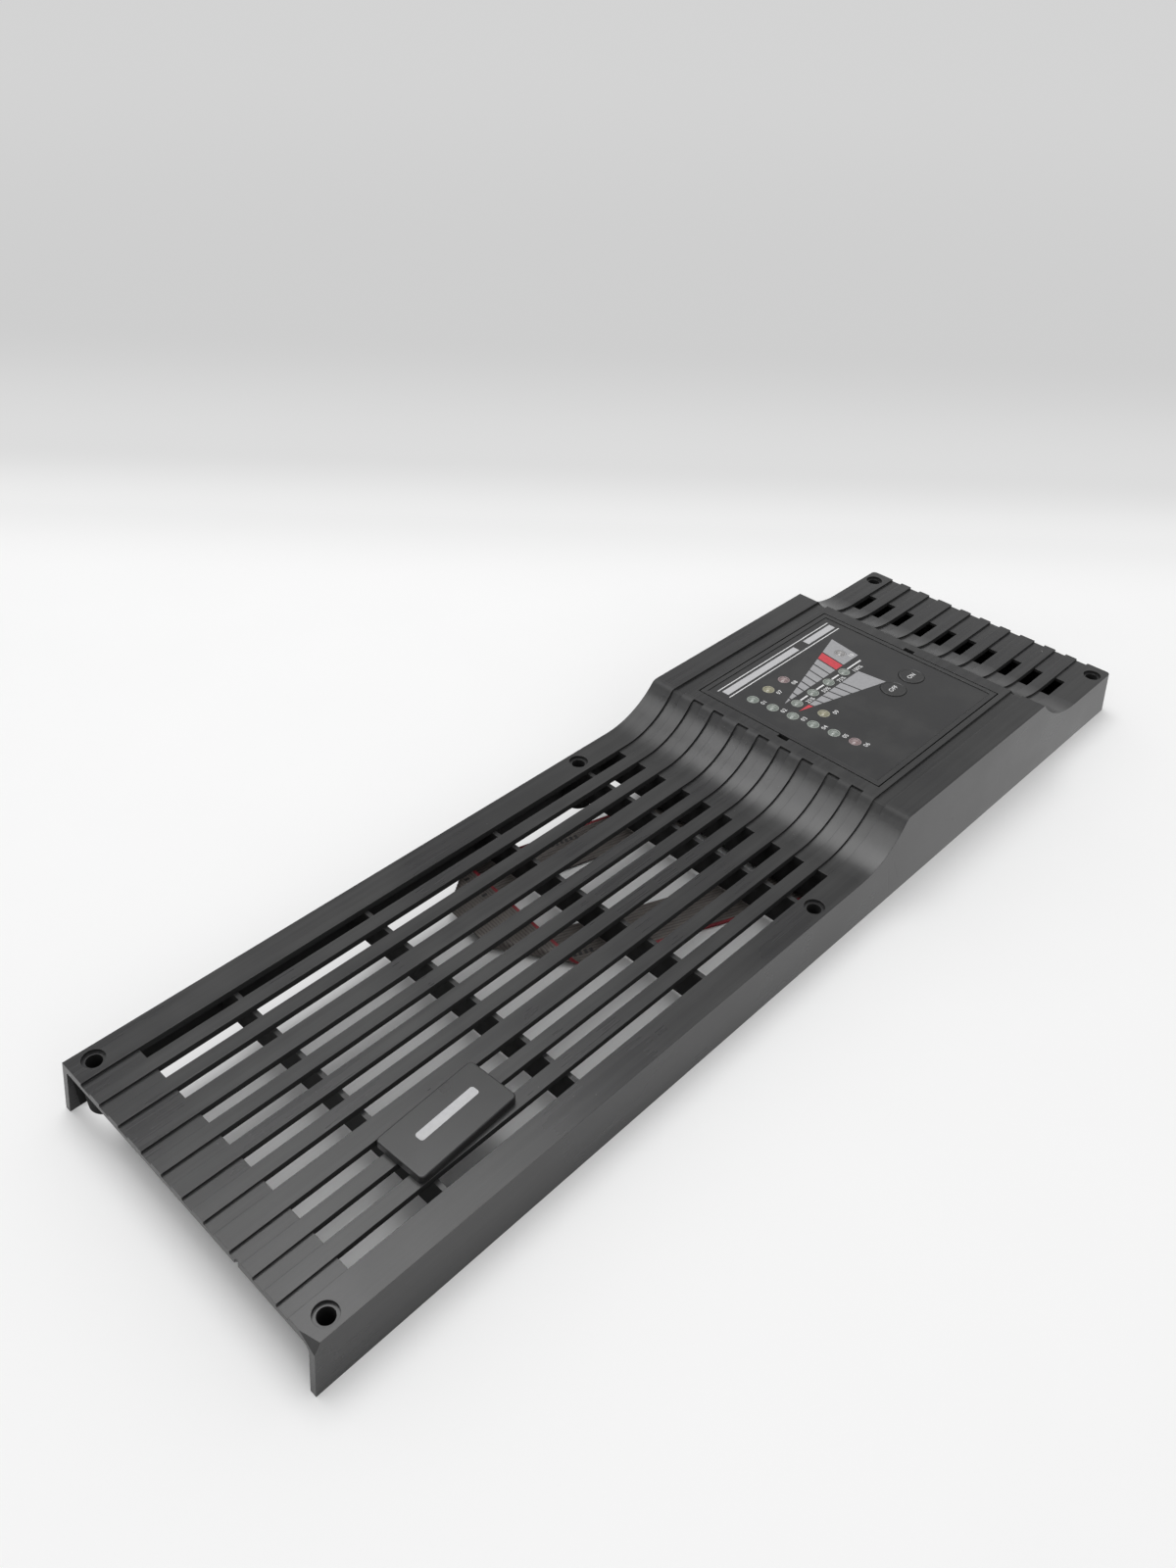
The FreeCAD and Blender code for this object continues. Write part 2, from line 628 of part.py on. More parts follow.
def make_badge():
    # A plate on a split pivot that snaps into the round pad between the grille strips.
    badge = body("badge")
    low = face_top + badge_lift
    x = badge_long / 2
    y = badge_wide / 2
    r = badge_corner
    plan = body_sketch(badge, "badge_outline", "XY_Plane")
    tie(plan, "AttachmentOffset.Base.z", low)
    draw(plan, [(-x + r, -y), (x - r, -y), (x, -y + r), (x, y - r), (x - r, y), (-x + r, y), (-x, y - r),
                (-x, -y + r)], {1: (r, True), 3: (r, True), 5: (r, True), 7: (r, True)})
    slab = badge.newObject("PartDesign::Pad", "badge_plate")
    slab.Profile = plan
    tie(slab, "Length", badge_thick)
    doc.recompute()
    rim = badge.newObject("PartDesign::Fillet", "badge_rim")
    top = (low + badge_thick).value
    rim.Base = (slab, ["Edge%d" % (number + 1) for number, edge in enumerate(slab.Shape.Edges)
                       if edge.BoundBox.ZMin > top - 0.01])
    tie(rim, "Radius", badge_edge)
    pin = pivot_diameter / 2
    barb = pin + pivot_gap + barb_reach
    under = rib_top - pivot_gap
    half = body_sketch(badge, "pivot_outline", "XZ_Plane")
    zero = as_size(0)
    draw(half, [(zero, low), (zero, under - barb_height), (pin - barb_reach, under - barb_height), (barb, under),
                (pin, under), (pin, low)], {})
    turned = badge.newObject("PartDesign::Revolution", "pivot")
    turned.Profile = half
    turned.ReferenceAxis = (half, ["V_Axis"])
    turned.Angle = 360
    split = body_sketch(badge, "split_outline", "XZ_Plane")
    s = split_width / 2
    draw(split, [(-s, under - barb_height - past), (s, under - barb_height - past), (s, rib_top),
                 (-s, rib_top)], {})
    gap = badge.newObject("PartDesign::Pocket", "split")
    gap.Profile = split
    gap.Type = "ThroughAll"
    gap.Midplane = True
    badge.Tip = gap
    put(badge, near_end + badge_x, badge_y, 0)
    badge.setExpression("Placement.Rotation.Angle", badge_turn.text)
    return badge


def lamp_places():
    places = [(column_x + column_lean * i, column_y - column_pitch * i) for i in range(6)]
    places += [(column_x + row_pitch * i, column_y) for i in (1, 2)]
    places += [(level_x + level_pitch * i, level_y) for i in range(4)]
    places += [(low_lamp_x, low_lamp_y), (load_lamp_x, load_lamp_y)]
    return [(panel_x + x, y) for x, y in places]


def button_places():
    return [(panel_x + button_x + button_pitch * i, button_y) for i in range(2)]


def face_holes(name, low, tall):
    # Cutters for the lamp and button holes through the film or the panel face.
    cutters = [rod("%s_lamp_hole_%d" % (name, i + 1), x, y, low, lamp_hole, tall)
               for i, (x, y) in enumerate(lamp_places())]
    cutters += [rod("%s_button_hole_%d" % (name, i + 1), x, y, low, button_hole, tall)
                for i, (x, y) in enumerate(button_places())]
    return group(name + "_holes", cutters)


post_places = [(panel_x + post_place * a, post_place * b) for a in (-1, 1) for b in (-1, 1)]


def make_display_panel():
    # The square snap-in panel: rim, film recess, skirt, two latches and four board posts.
    block = box("panel_block", panel_x, 0, panel_seat, panel_size, panel_size, panel_depth)
    latches = box("panel_latches", panel_x, 0, plateau_top - latch_drop - latch_height,
                  panel_size + 2 * latch_reach, latch_width, latch_height)
    recess = box("film_recess", panel_x, 0, film_low, film_size + 2 * film_gap, film_size + 2 * film_gap, past)
    inside = box("panel_inside", panel_x, 0, panel_seat - past, panel_inner, panel_inner,
                 panel_under - panel_seat + past)
    shell = cut("panel_shell", join("panel_outside", [block, latches]), join("panel_spaces", [recess, inside]))
    posts = [rod("board_post_%d" % (i + 1), x, y, board_top, post_diameter, panel_under + panel_face / 2 - board_top)
             for i, (x, y) in enumerate(post_places)]
    pilots = [rod("board_pilot_%d" % (i + 1), x, y, board_top - past, screw_diameter + 2 * screw_gap,
                  screw_length - board_thickness + past + pilot_room)
              for i, (x, y) in enumerate(post_places)]
    panel = cut("panel_pierced", join("panel_with_posts", [shell] + posts), group("board_pilots", pilots))
    return cut("display_panel", panel, face_holes("panel", panel_under - past, 3 * past))


def make_film():
    sheet_blank = box("film_blank", panel_x, 0, film_low, film_size, film_size, film_thickness)
    return cut("overlay_film", sheet_blank, face_holes("film", film_low - past, 2 * past))


def turned_piece(name, points, arcs):
    # A round piece turned about its own upright axis.
    piece = body(name)
    half = body_sketch(piece, name + "_outline", "XZ_Plane")
    draw(half, [(as_size(a), as_size(b)) for a, b in points], arcs)
    turned = piece.newObject("PartDesign::Revolution", name + "_turned")
    turned.Profile = half
    turned.ReferenceAxis = (half, ["V_Axis"])
    turned.Angle = 360
    piece.Tip = turned
    return piece


def make_lamp(number, x, y):
    r = lamp_diameter / 2
    foot = lamp_flange / 2
    lens = (r * r + lamp_dome * lamp_dome) / (2 * lamp_dome)
    lamp = turned_piece("lamp_%02d" % number, [
        (0, board_top), (foot, board_top), (foot, board_top + lamp_foot), (r, board_top + lamp_foot),
        (r, lamp_top - lamp_dome), (0, lamp_top)], {4: (lens, True)})
    put(lamp, x, y, 0)
    return lamp


def make_button(name, x, y):
    # A cap with a raised rim, a keeper flange under the panel face and a short stem.
    r = button_diameter / 2
    top = film_top + button_proud
    keep = panel_under - button_lift
    flange = button_hole / 2 + button_flange
    stem = stem_diameter / 2
    dish = button_proud / 2
    cap = turned_piece(name, [
        (0, plunger_top), (stem, plunger_top), (stem, keep - button_flange), (flange, keep - button_flange),
        (flange, keep), (r, keep), (r, top - dish), (r - dish, top), (r - 3 * dish, top),
        (r - 5 * dish, top - dish), (0, top - dish)], {})
    put(cap, x, y, 0)
    return cap


def make_switch(name, x, y):
    case = box(name + "_case", x, y, board_top, switch_size, switch_size, switch_height)
    well = rod(name + "_well", x, y, board_top + switch_height - plunger_room,
               plunger_diameter + 2 * plunger_gap, plunger_room + past)
    return cut(name, case, well)


def make_board():
    blank = box("board_blank", panel_x, 0, board_low, board_size, board_size, board_thickness)
    holes = [rod("board_hole_%d" % (i + 1), x, y, board_low - past, screw_hole, board_thickness + 2 * past)
             for i, (x, y) in enumerate(post_places)]
    return cut("lamp_board", blank, group("board_holes", holes))


def make_board_screws():
    screws = []
    for i, (x, y) in enumerate(post_places):
        head = rod("board_screw_head_%d" % (i + 1), x, y, board_low - screw_head_height, screw_head,
                   screw_head_height)
        shank = rod("board_screw_shank_%d" % (i + 1), x, y, board_low - screw_head_height / 2, screw_diameter,
                    screw_head_height / 2 + screw_length)
        screws.append(join("board_screw_%d" % (i + 1), [head, shank]))
    return group("board_screws", screws)


header_low = board_low - header_tall
plug_top = board_low - header_floor - plug_gap
plug_wide = header_wide - 2 * header_wall - 2 * plug_gap
plug_long = header_long - 2 * header_wall - 2 * plug_gap


def make_header():
    x = panel_x + header_x
    block = box("header_block", x, header_y, header_low, header_wide, header_long, header_tall)
    well = box("header_well", x, header_y, header_low - past, header_wide - 2 * header_wall,
               header_long - 2 * header_wall, header_tall - header_floor + past)
    return cut("board_header", block, well)


def make_plug():
    return box("ribbon_plug", panel_x + header_x, header_y, plug_top - plug_tall, plug_wide, plug_long, plug_tall)


def make_resistor_packs():
    packs = [box("resistor_pack_%d" % (i + 1), panel_x + pack_x, pack_pitch * (i - 0.5), board_low - pack_tall,
                 pack_long, pack_wide, pack_tall) for i in range(2)]
    return group("resistor_packs", packs)


plug_low = plug_top - plug_tall
plug_face = panel_x + header_x - plug_wide / 2


def point(x, y):
    return Vector(x.value, y.value, 0)


def left_of(direction):
    return Vector(-direction.y, direction.x, 0) * (ribbon_width.value / 2)


def fold_line(place, before, after):
    # The two ends of a fold across the ribbon, the one on the left of the run before it first.
    line = (before + after).normalize()
    reach = ribbon_width.value / 2 / before.cross(line).z
    return place + line * reach, place - line * reach


def flat_run(edges, level):
    face = Part.Face(Part.Wire(Part.__sortEdges__(edges)))
    face.translate(Vector(0, 0, level))
    return face.extrude(Vector(0, 0, ribbon_thickness.value))


def straight_run(corners, level):
    return flat_run(Part.makePolygon(corners + [corners[0]]).Edges, level)


def half_round_fold(ends, before):
    # Half a tube along the fold line, from the lower run up to the higher one.
    first, last = ends
    line = (last - first).normalize()
    out = (before - line * before.dot(line)).normalize()
    up = Vector(0, 0, 1)
    middle = ribbon_thickness.value / 2
    centre = first + up * (ribbon_clear.value + middle + fold_radius.value)
    skins = []
    for radius in (fold_radius.value + middle, fold_radius.value - middle):
        skins.append(Part.Arc(centre - up * radius, centre + out * radius, centre + up * radius).toShape())
    ends_of_skins = zip(skins[0].Vertexes, skins[1].Vertexes)
    edges = skins + [Part.makeLine(outer.Point, inner.Point) for outer, inner in ends_of_skins]
    return Part.Face(Part.Wire(Part.__sortEdges__(edges))).extrude(last - first)


def swinging_run(start, corner, ends):
    # The first run on the surface: straight, a gentle swing in its own plane, and straight to the first fold.
    before = (corner - start).normalize()
    after = ((ends[0] + ends[1]) * 0.5 - corner).normalize()
    turn = before.getAngle(after)
    lead = swing_radius.value * math.tan(turn / 2)
    to_centre = -left_of(before).normalize()
    centre = corner - before * lead + to_centre * swing_radius.value
    edges = []
    for side in (1, -1):
        radius = swing_radius.value + side * ribbon_width.value / 2
        rim = [centre + (before * math.sin(angle) - to_centre * math.cos(angle)) * radius
               for angle in (0, turn / 2, turn)]
        edges.append(Part.makeLine(start + left_of(before) * side, rim[0]))
        edges.append(Part.Arc(*rim).toShape())
        edges.append(Part.makeLine(rim[2], ends[0] if side == 1 else ends[1]))
    edges.append(Part.makeLine(start + left_of(before), start - left_of(before)))
    edges.append(Part.makeLine(ends[0], ends[1]))
    return flat_run(edges, ribbon_clear.value)


def riser_reach():
    # How far the riser comes forward from the plug before it lies flat.
    slope = math.radians(riser_slope.value)
    drop = plug_low + ribbon_exit - ribbon_clear
    sloping = (drop.value - 2 * riser_radius.value * (1 - math.cos(slope))) / math.sin(slope)
    return riser_level.value + 2 * riser_radius.value * math.sin(slope) + sloping * math.cos(slope)


def riser():
    # The ribbon from the plug down to the surface: level, round, sloping and round again.
    slope = math.radians(riser_slope.value)
    thick = ribbon_thickness.value
    y = (header_y - ribbon_width / 2).value
    high = (plug_low + ribbon_exit).value
    low = ribbon_clear.value
    face_x = plug_face.value
    end_x = face_x - riser_reach()
    upper = Vector(face_x - riser_level.value, y, high - riser_radius.value)
    lower = Vector(end_x, y, low + riser_radius.value)

    def skin(lift):
        over = riser_radius.value + lift
        under = riser_radius.value - lift
        first = [upper + Vector(-math.sin(angle), 0, math.cos(angle)) * over for angle in (0, slope / 2, slope)]
        second = [lower + Vector(math.sin(angle), 0, -math.cos(angle)) * under for angle in (slope, slope / 2, 0)]
        return [Part.makeLine(Vector(face_x, y, high + lift), first[0]), Part.Arc(*first).toShape(),
                Part.makeLine(first[2], second[0]), Part.Arc(*second).toShape()]

    edges = skin(0) + skin(thick)
    edges.append(Part.makeLine(Vector(face_x, y, high), Vector(face_x, y, high + thick)))
    edges.append(Part.makeLine(Vector(end_x, y, low), Vector(end_x, y, low + thick)))
    return Part.Face(Part.Wire(Part.__sortEdges__(edges))).extrude(Vector(0, ribbon_width.value, 0))


# Route of the ribbon in plan: it comes down from the plug, swings a little towards the left wall, folds over
# twice behind the grille and runs to its socket past the last rib.
ribbon_start = Vector(plug_face.value - riser_reach(), header_y.value, 0)
swing_corner = ribbon_start - Vector(swing_lead.value, 0, 0)
fold_a = point(near_end + rib_third - fold_from_rib, half_width - fold_from_edge)
fold_b = fold_a + point(fold_step_x, fold_step_y)
ribbon_end = point(slot_end + rib_thickness + socket_from_rib, socket_from_edge - half_width)


def make_ribbon():
    first = (fold_a - swing_corner).normalize()
    second = (fold_b - fold_a).normalize()
    third = (ribbon_end - fold_b).normalize()
    ends_a = fold_line(fold_a, first, second)
    ends_b = fold_line(fold_b, second, third)
    upper_run = straight_run([ends_a[0], ends_a[1], ends_b[0], ends_b[1]],
                             ribbon_clear.value + 2 * fold_radius.value)
    last_run = straight_run([ends_b[0], ends_b[1], ribbon_end + left_of(third), ribbon_end - left_of(third)],
                            ribbon_clear.value)
    ribbon = doc.addObject("Part::Feature", "ribbon_cable")
    ribbon.Shape = swinging_run(ribbon_start, swing_corner, ends_a).fuse(
        [riser(), half_round_fold(ends_a, first), upper_run, half_round_fold(ends_b, second), last_run]
    ).removeSplitter()
    return ribbon


def make_socket():
    # The socket at the far end of the ribbon, with its polarising key on top.
    socket = body("ribbon_socket")
    half = socket_wide / 2
    key_half = key_wide / 2
    block = [(as_size(0), -half), (socket_long, -half), (socket_long, half), (as_size(0), half)]
    key = [(socket_long - key_long, -key_half), (socket_long, -key_half), (socket_long, key_half),
           (socket_long - key_long, key_half)]
    for name, corners, tall in (("socket_block", block, socket_tall), ("socket_key", key, socket_tall + key_rise)):
        plan = body_sketch(socket, name + "_outline", "XY_Plane")
        draw(plan, corners, {})
        pad = socket.newObject("PartDesign::Pad", name)
        pad.Profile = plan
        tie(pad, "Length", tall)
        socket.Tip = pad
    turn = FreeCAD.Rotation(Vector(1, 0, 0), ribbon_end - fold_b)
    socket.Placement = FreeCAD.Placement(ribbon_end, turn)
    return socket


pieces = [make_bezel_frame(), make_badge(), make_display_panel(), make_film(), make_board(), make_board_screws(),
          make_header(), make_plug(), make_resistor_packs(), make_ribbon(), make_socket()]
for name, (x, y) in zip(("off", "on"), button_places()):
    pieces.append(make_button(name + "_button", x, y))
    pieces.append(make_switch(name + "_switch", x, y))
    pieces.append(rod(name + "_plunger", x, y, plunger_top - plunger_length, plunger_diameter, plunger_length))
for number, (x, y) in enumerate(lamp_places()):
    pieces.append(make_lamp(number + 1, x, y))
doc.recompute()

for thing in doc.Objects:
    if "Invalid" in thing.State or "Error" in thing.State:
        raise RuntimeError("%s failed: %s" % (thing.Name, thing.State))
os.makedirs("parts", exist_ok=True)
for piece in pieces:
    piece.Label = piece.Name
    if piece.Shape.isNull() or not piece.Shape.isValid():
        raise RuntimeError("%s has no sound shape" % piece.Name)
    piece.Shape.exportStep("parts/%s.step" % piece.Label)
    print("%s: %d solid, %.0f cubic mm" % (piece.Label, len(piece.Shape.Solids), piece.Shape.Volume))
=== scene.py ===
import math
import bmesh
import bpy
from mathutils import Matrix, Vector
from mathutils.geometry import tessellate_polygon


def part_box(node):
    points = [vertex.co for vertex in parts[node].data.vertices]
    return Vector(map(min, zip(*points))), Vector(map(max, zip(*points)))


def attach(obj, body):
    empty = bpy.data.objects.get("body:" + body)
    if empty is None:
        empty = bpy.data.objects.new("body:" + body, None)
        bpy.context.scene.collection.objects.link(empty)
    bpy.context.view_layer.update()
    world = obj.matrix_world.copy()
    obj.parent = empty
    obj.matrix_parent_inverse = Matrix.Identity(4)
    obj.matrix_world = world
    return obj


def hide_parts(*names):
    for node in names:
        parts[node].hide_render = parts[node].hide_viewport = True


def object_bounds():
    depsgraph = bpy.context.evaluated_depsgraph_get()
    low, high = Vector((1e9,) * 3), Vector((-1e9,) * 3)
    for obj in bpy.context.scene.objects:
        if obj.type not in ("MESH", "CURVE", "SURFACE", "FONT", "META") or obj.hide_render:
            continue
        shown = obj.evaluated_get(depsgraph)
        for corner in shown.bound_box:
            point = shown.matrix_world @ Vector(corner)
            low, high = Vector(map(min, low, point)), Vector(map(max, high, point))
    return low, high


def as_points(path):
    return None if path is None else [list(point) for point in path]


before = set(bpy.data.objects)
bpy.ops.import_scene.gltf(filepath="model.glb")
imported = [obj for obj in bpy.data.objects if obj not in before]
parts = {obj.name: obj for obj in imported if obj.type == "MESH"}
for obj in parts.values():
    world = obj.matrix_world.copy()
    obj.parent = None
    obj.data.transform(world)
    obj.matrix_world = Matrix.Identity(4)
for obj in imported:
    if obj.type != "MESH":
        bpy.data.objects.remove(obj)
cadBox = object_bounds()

# Front bezel of a rack power supply: slotted grille, ramp, lamp panel, turning badge, folded ribbon lead.
# Lengths are in mm and turn into metres with mm.
# The camera, the lights and the fades of the floor are in metres.
mm = 0.001
scene = bpy.context.scene
scene.view_settings.view_transform = "Standard"


def newPiece(name, mesh, body, slot):
    piece = bpy.data.objects.new(name, mesh)
    scene.collection.objects.link(piece)
    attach(piece, body)
    return piece


def meshFrom(bm, name):
    mesh = bpy.data.meshes.new(name)
    bm.to_mesh(mesh)
    bm.free()
    return mesh


def dress(thing, material):
    thing.data.materials.clear()
    thing.data.materials.append(material)


# Camera

photoCamera = {
    "place": (-0.29766, -0.22191, 0.33911),
    "ahead": (0.57269, 0.52795, -0.62713),
    "right": (0.69332, -0.72013, 0.02689),
    "lens": 29.164,
    "sensor": 36.0,
    "clip": 0.01,
}


def makeCamera(look):
    data = bpy.data.cameras.new("photoCamera")
    data.lens = look["lens"]
    data.sensor_width = look["sensor"]
    data.clip_start = look["clip"]
    camera = bpy.data.objects.new("photoCamera", data)
    scene.collection.objects.link(camera)
    right = Vector(look["right"]).normalized()
    back = -Vector(look["ahead"]).normalized()
    stand = Matrix((right, back.cross(right), back)).transposed().to_4x4()
    stand.translation = Vector(look["place"])
    camera.matrix_world = stand
    scene.camera = camera


makeCamera(photoCamera)
print("camera placed")


# Ribbon lead: a flat strip of sixteen wires, bent down from its plug, swung a little and folded over twice

ribbonLead = {
    "plugEnd": (89.1, 22.0, 12.05),
    "width": 20.3,
    "length": 333.7,
    "wires": 16,
    "wireThick": 0.9,
    "webThick": 0.4,
    "shoulder": 0.43,   # height of a wire beside its crown, as a share of its thickness
    "rows": 270,
    # at: where the middle line enters the bend; lean: turn of the bend line; side: the way it bends on the strip
    "bends": [
        {"at": 4.1, "lean": 0, "radius": 10, "angle": 40, "side": (0, 0, -1)},
        {"at": 21.61, "lean": 0, "radius": 10, "angle": 40, "side": (0, 0, 1)},
        {"at": 39.93, "lean": 0, "radius": 100, "angle": 16.02, "side": (0, -1, 0)},
        {"at": 164.69, "lean": -39.85, "radius": 2, "angle": 180, "side": (0, 0, 1)},
        {"at": 209.74, "lean": 53.52, "radius": 2, "angle": 180, "side": (0, 0, 1)},
    ],
    # the same way as a smooth line, close round both folds
    "route": [
        (89.1, 22, 12.05), (81.4, 22, 12.05), (67.7, 22, 0.6), (38.7, 22, 0.6), (-62, 50.9, 0.6),
        (-70.5, 53.2, 0.6), (-72.6, 51.5, 4.6), (-73, 42, 4.6), (-74.6, 24, 4.6), (-76.3, 9.9, 4.6),
        (-74.6, 6.9, 0.6), (-66, 3.3, 0.6), (33, -38.2, 0.6),
    ],
}


def smoothLine(name, route, smooth=24):
    curve = bpy.data.curves.new(name, "CURVE")
    curve.dimensions = "3D"
    curve.resolution_u = smooth
    spline = curve.splines.new("NURBS")
    spline.points.add(len(route) - 1)
    for spot, place in zip(spline.points, route):
        spot.co = (*(Vector(place) * mm), 1)
    spline.order_u = 3
    spline.use_endpoint_u = True
    holder = bpy.data.objects.new(name, curve)
    line = bpy.data.meshes.new_from_object(holder)
    spots = [v.co.copy() for v in line.vertices]
    bpy.data.objects.remove(holder)
    bpy.data.curves.remove(curve)
    bpy.data.meshes.remove(line)
    return spots


def readyBend(bend):
    lean = math.radians(bend["lean"])
    ahead = Vector((math.cos(lean), math.sin(lean), 0))
    side = Vector(bend["side"])
    turn = math.radians(bend["angle"])
    radius = bend["radius"]
    line = Vector((bend["at"], 0, 0))
    after = (Matrix.Translation(line + ahead * radius * math.sin(turn) + side * radius * (1 - math.cos(turn)))
             @ Matrix.Rotation(turn, 4, ahead.cross(side))
             @ Matrix.Translation(-line - ahead * radius * turn))
    return {"line": line, "ahead": ahead, "side": side, "radius": radius, "turn": turn, "after": after}


def bendSpot(spot, bends, stand):
    # carries one spot of the flat strip through every bend before it
    flat = Vector((spot.x, spot.y, 0))
    for bend in bends:
        past = (flat - bend["line"]).dot(bend["ahead"])
        if past <= 0:
            break
        if past < bend["radius"] * bend["turn"]:
            step = spot - bend["line"]
            across = step.dot(bend["side"])
            keep = step - bend["ahead"] * step.dot(bend["ahead"]) - bend["side"] * across
            angle = past / bend["radius"]
            arm = bend["radius"] - across
            spot = (bend["line"] + keep + bend["ahead"] * arm * math.sin(angle)
                    + bend["side"] * (bend["radius"] - arm * math.cos(angle)))
            return stand @ spot
        stand = stand @ bend["after"]
    return stand @ spot


def makeRibbon(look):
    half = look["width"] / 2
    pitch = look["width"] / look["wires"]
    web, shoulder, crown = look["webThick"] / 2, look["wireThick"] * look["shoulder"], look["wireThick"] / 2
    rise = [(0, web), (0.2, shoulder), (0.5, crown), (0.8, shoulder)]   # along one wire: share of the pitch, height
    top = [((wire + share) * pitch - half, height) for wire in range(look["wires"]) for share, height in rise]
    top.append((half, web))
    ring = top + [(y, -z) for y, z in reversed(top)]
    bends = [readyBend(bend) for bend in look["bends"]]
    stand = Matrix.Translation(Vector(look["plugEnd"])) @ Matrix.Rotation(math.pi, 4, "Z")
    bm = bmesh.new()
    lay = bm.loops.layers.uv.new("lay")
    rows = []
    for row in range(look["rows"] + 1):
        x = look["length"] * row / look["rows"]
        rows.append([bm.verts.new(bendSpot(Vector((x, y, z)), bends, stand) * mm) for y, z in ring])
    for row in range(look["rows"]):
        for here in range(len(ring)):
            there = (here + 1) % len(ring)
            corners = ((row, here), (row, there), (row + 1, there), (row + 1, here))
            face = bm.faces.new([rows[r][c] for r, c in corners])
            face.smooth = True
            for loop, (r, c) in zip(face.loops, corners):
                loop[lay].uv = ((ring[c][0] + half) / look["width"], r / look["rows"])
    bm.faces.new(list(reversed(rows[0])))
    bm.faces.new(rows[-1])
    bmesh.ops.recalc_face_normals(bm, faces=bm.faces)
    piece = newPiece("ribbonLead", meshFrom(bm, "ribbonLead"), "bezel", "ribbon_grey")
    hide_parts("ribbon_cable")
    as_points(smoothLine("ribbonRoute", look["route"]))
    return piece


ribbonPiece = makeRibbon(ribbonLead)
print("ribbon laid,", len(ribbonPiece.data.polygons), "faces")


# Material helpers

def addNode(tree, kind, settings=None, **inputs):
    node = tree.nodes.new("ShaderNode" + kind)
    for key, value in (settings or {}).items():
        setattr(node, key, value)
    for key, value in inputs.items():
        number = key[1:]
        socket = node.inputs[int(number)] if key[0] == "i" and number.isdigit() else node.inputs[key]
        if isinstance(value, bpy.types.NodeSocket):
            tree.links.new(value, socket)
        else:
            socket.default_value = value
    return node


def sums(tree, step, first, second=0.0, third=0.0, clamp=False):
    settings = {"operation": step, "use_clamp": clamp}
    return addNode(tree, "Math", settings, i0=first, i1=second, i2=third).outputs[0]


def vectors(tree, step, first, second=(0, 0, 0)):
    node = addNode(tree, "VectorMath", {"operation": step}, i0=first, i1=second)
    return node.outputs["Value"] if step in ("LENGTH", "DOT_PRODUCT") else node.outputs["Vector"]


def span(tree, value, low, high, start=0.0, end=1.0):
    settings = {"interpolation_type": "SMOOTHSTEP"}
    return addNode(tree, "MapRange", settings, i0=value, i1=low, i2=high, i3=start, i4=end).outputs[0]


def blendColour(tree, share, first, second):
    return addNode(tree, "Mix", {"data_type": "RGBA"}, i0=share, i6=first, i7=second).outputs[2]


def grey(value):
    return (value, value, value, 1)


def startMaterial(name):
    material = bpy.data.materials.new(name)
    material.use_nodes = True
    tree = material.node_tree
    return material, tree, tree.nodes["Principled BSDF"]


def setSockets(node, values):
    for key, value in values.items():
        node.inputs[key].default_value = value


def noiseOf(tree, place, size, detail=2.0, rough=0.5):
    return addNode(tree, "TexNoise", Vector=place, Scale=1 / mm / size, Detail=detail, Roughness=rough).outputs[0]


def bumpOf(tree, height, strength, deep, **others):
    return addNode(tree, "Bump", Strength=strength, Distance=deep * mm, Height=height, **others).outputs[0]


def joinShader(tree, shader, colour, rough, bump):
    for key, value in (("Base Color", colour), ("Roughness", rough), ("Normal", bump)):
        tree.links.new(value, shader.inputs[key])


# Marks that every moulding carries: sizes in mm, edges of the noise, shares and tones
mouldingMarks = {
    "cloudEdge": (0.3, 0.7),
    "streakEdge": (0.35, 0.68),
    "streakTone": 0.06,
    "fineGrain": 0.35,   # size, as a share of the grain
    "fineShare": 0.5,
    "rubBend": (0.01, 0.22),
    "rubPatch": 3.5,
    "rubEdge": (0.35, 0.65),
    "rubLeast": 0.35,
    "rubGloss": -0.08,
    "speckCell": 2.6,
    "speckRadius": 0.045,   # as a share of its cell
    "speckShare": 0.5,
    "speckTone": 0.34,
    "wobbleScale": 900.0,
    "wobble": (0.0004, 0.0, 0.0004),   # in metres
    "scratchThinner": -0.6,
    "scratchEdge": (0.35, 1.0),
    "scratchDeep": -1.5,
    # near-black colour of the painted shade on the upright sides inside a moulding
    "recessTone": 0.004,
    "uprightEdge": (0.5, 0.35),
    "browEdge": 0.6,
    "bumpDeep": 0.06,
}


def scratchShare(tree, place, scratch):
    # share of one scratch: near the straight line between two spots, thinner towards its far end
    start, end = Vector(scratch["from"]) * mm, Vector(scratch["to"]) * mm
    run = end - start
    wide = scratch["width"] * mm
    step = vectors(tree, "SUBTRACT", place, start)
    along = sums(tree, "MULTIPLY", vectors(tree, "DOT_PRODUCT", step, run), 1 / run.length_squared, clamp=True)
    foot = addNode(tree, "VectorMath", {"operation": "SCALE"}, i0=run, Scale=along).outputs["Vector"]
    gap = vectors(tree, "LENGTH", vectors(tree, "SUBTRACT", step, foot))
    reach = sums(tree, "MULTIPLY_ADD", along, mouldingMarks["scratchThinner"] * wide, wide)
    beside = span(tree, sums(tree, "DIVIDE", gap, reach), *mouldingMarks["scratchEdge"])
    return sums(tree, "SUBTRACT", 1.0, beside)


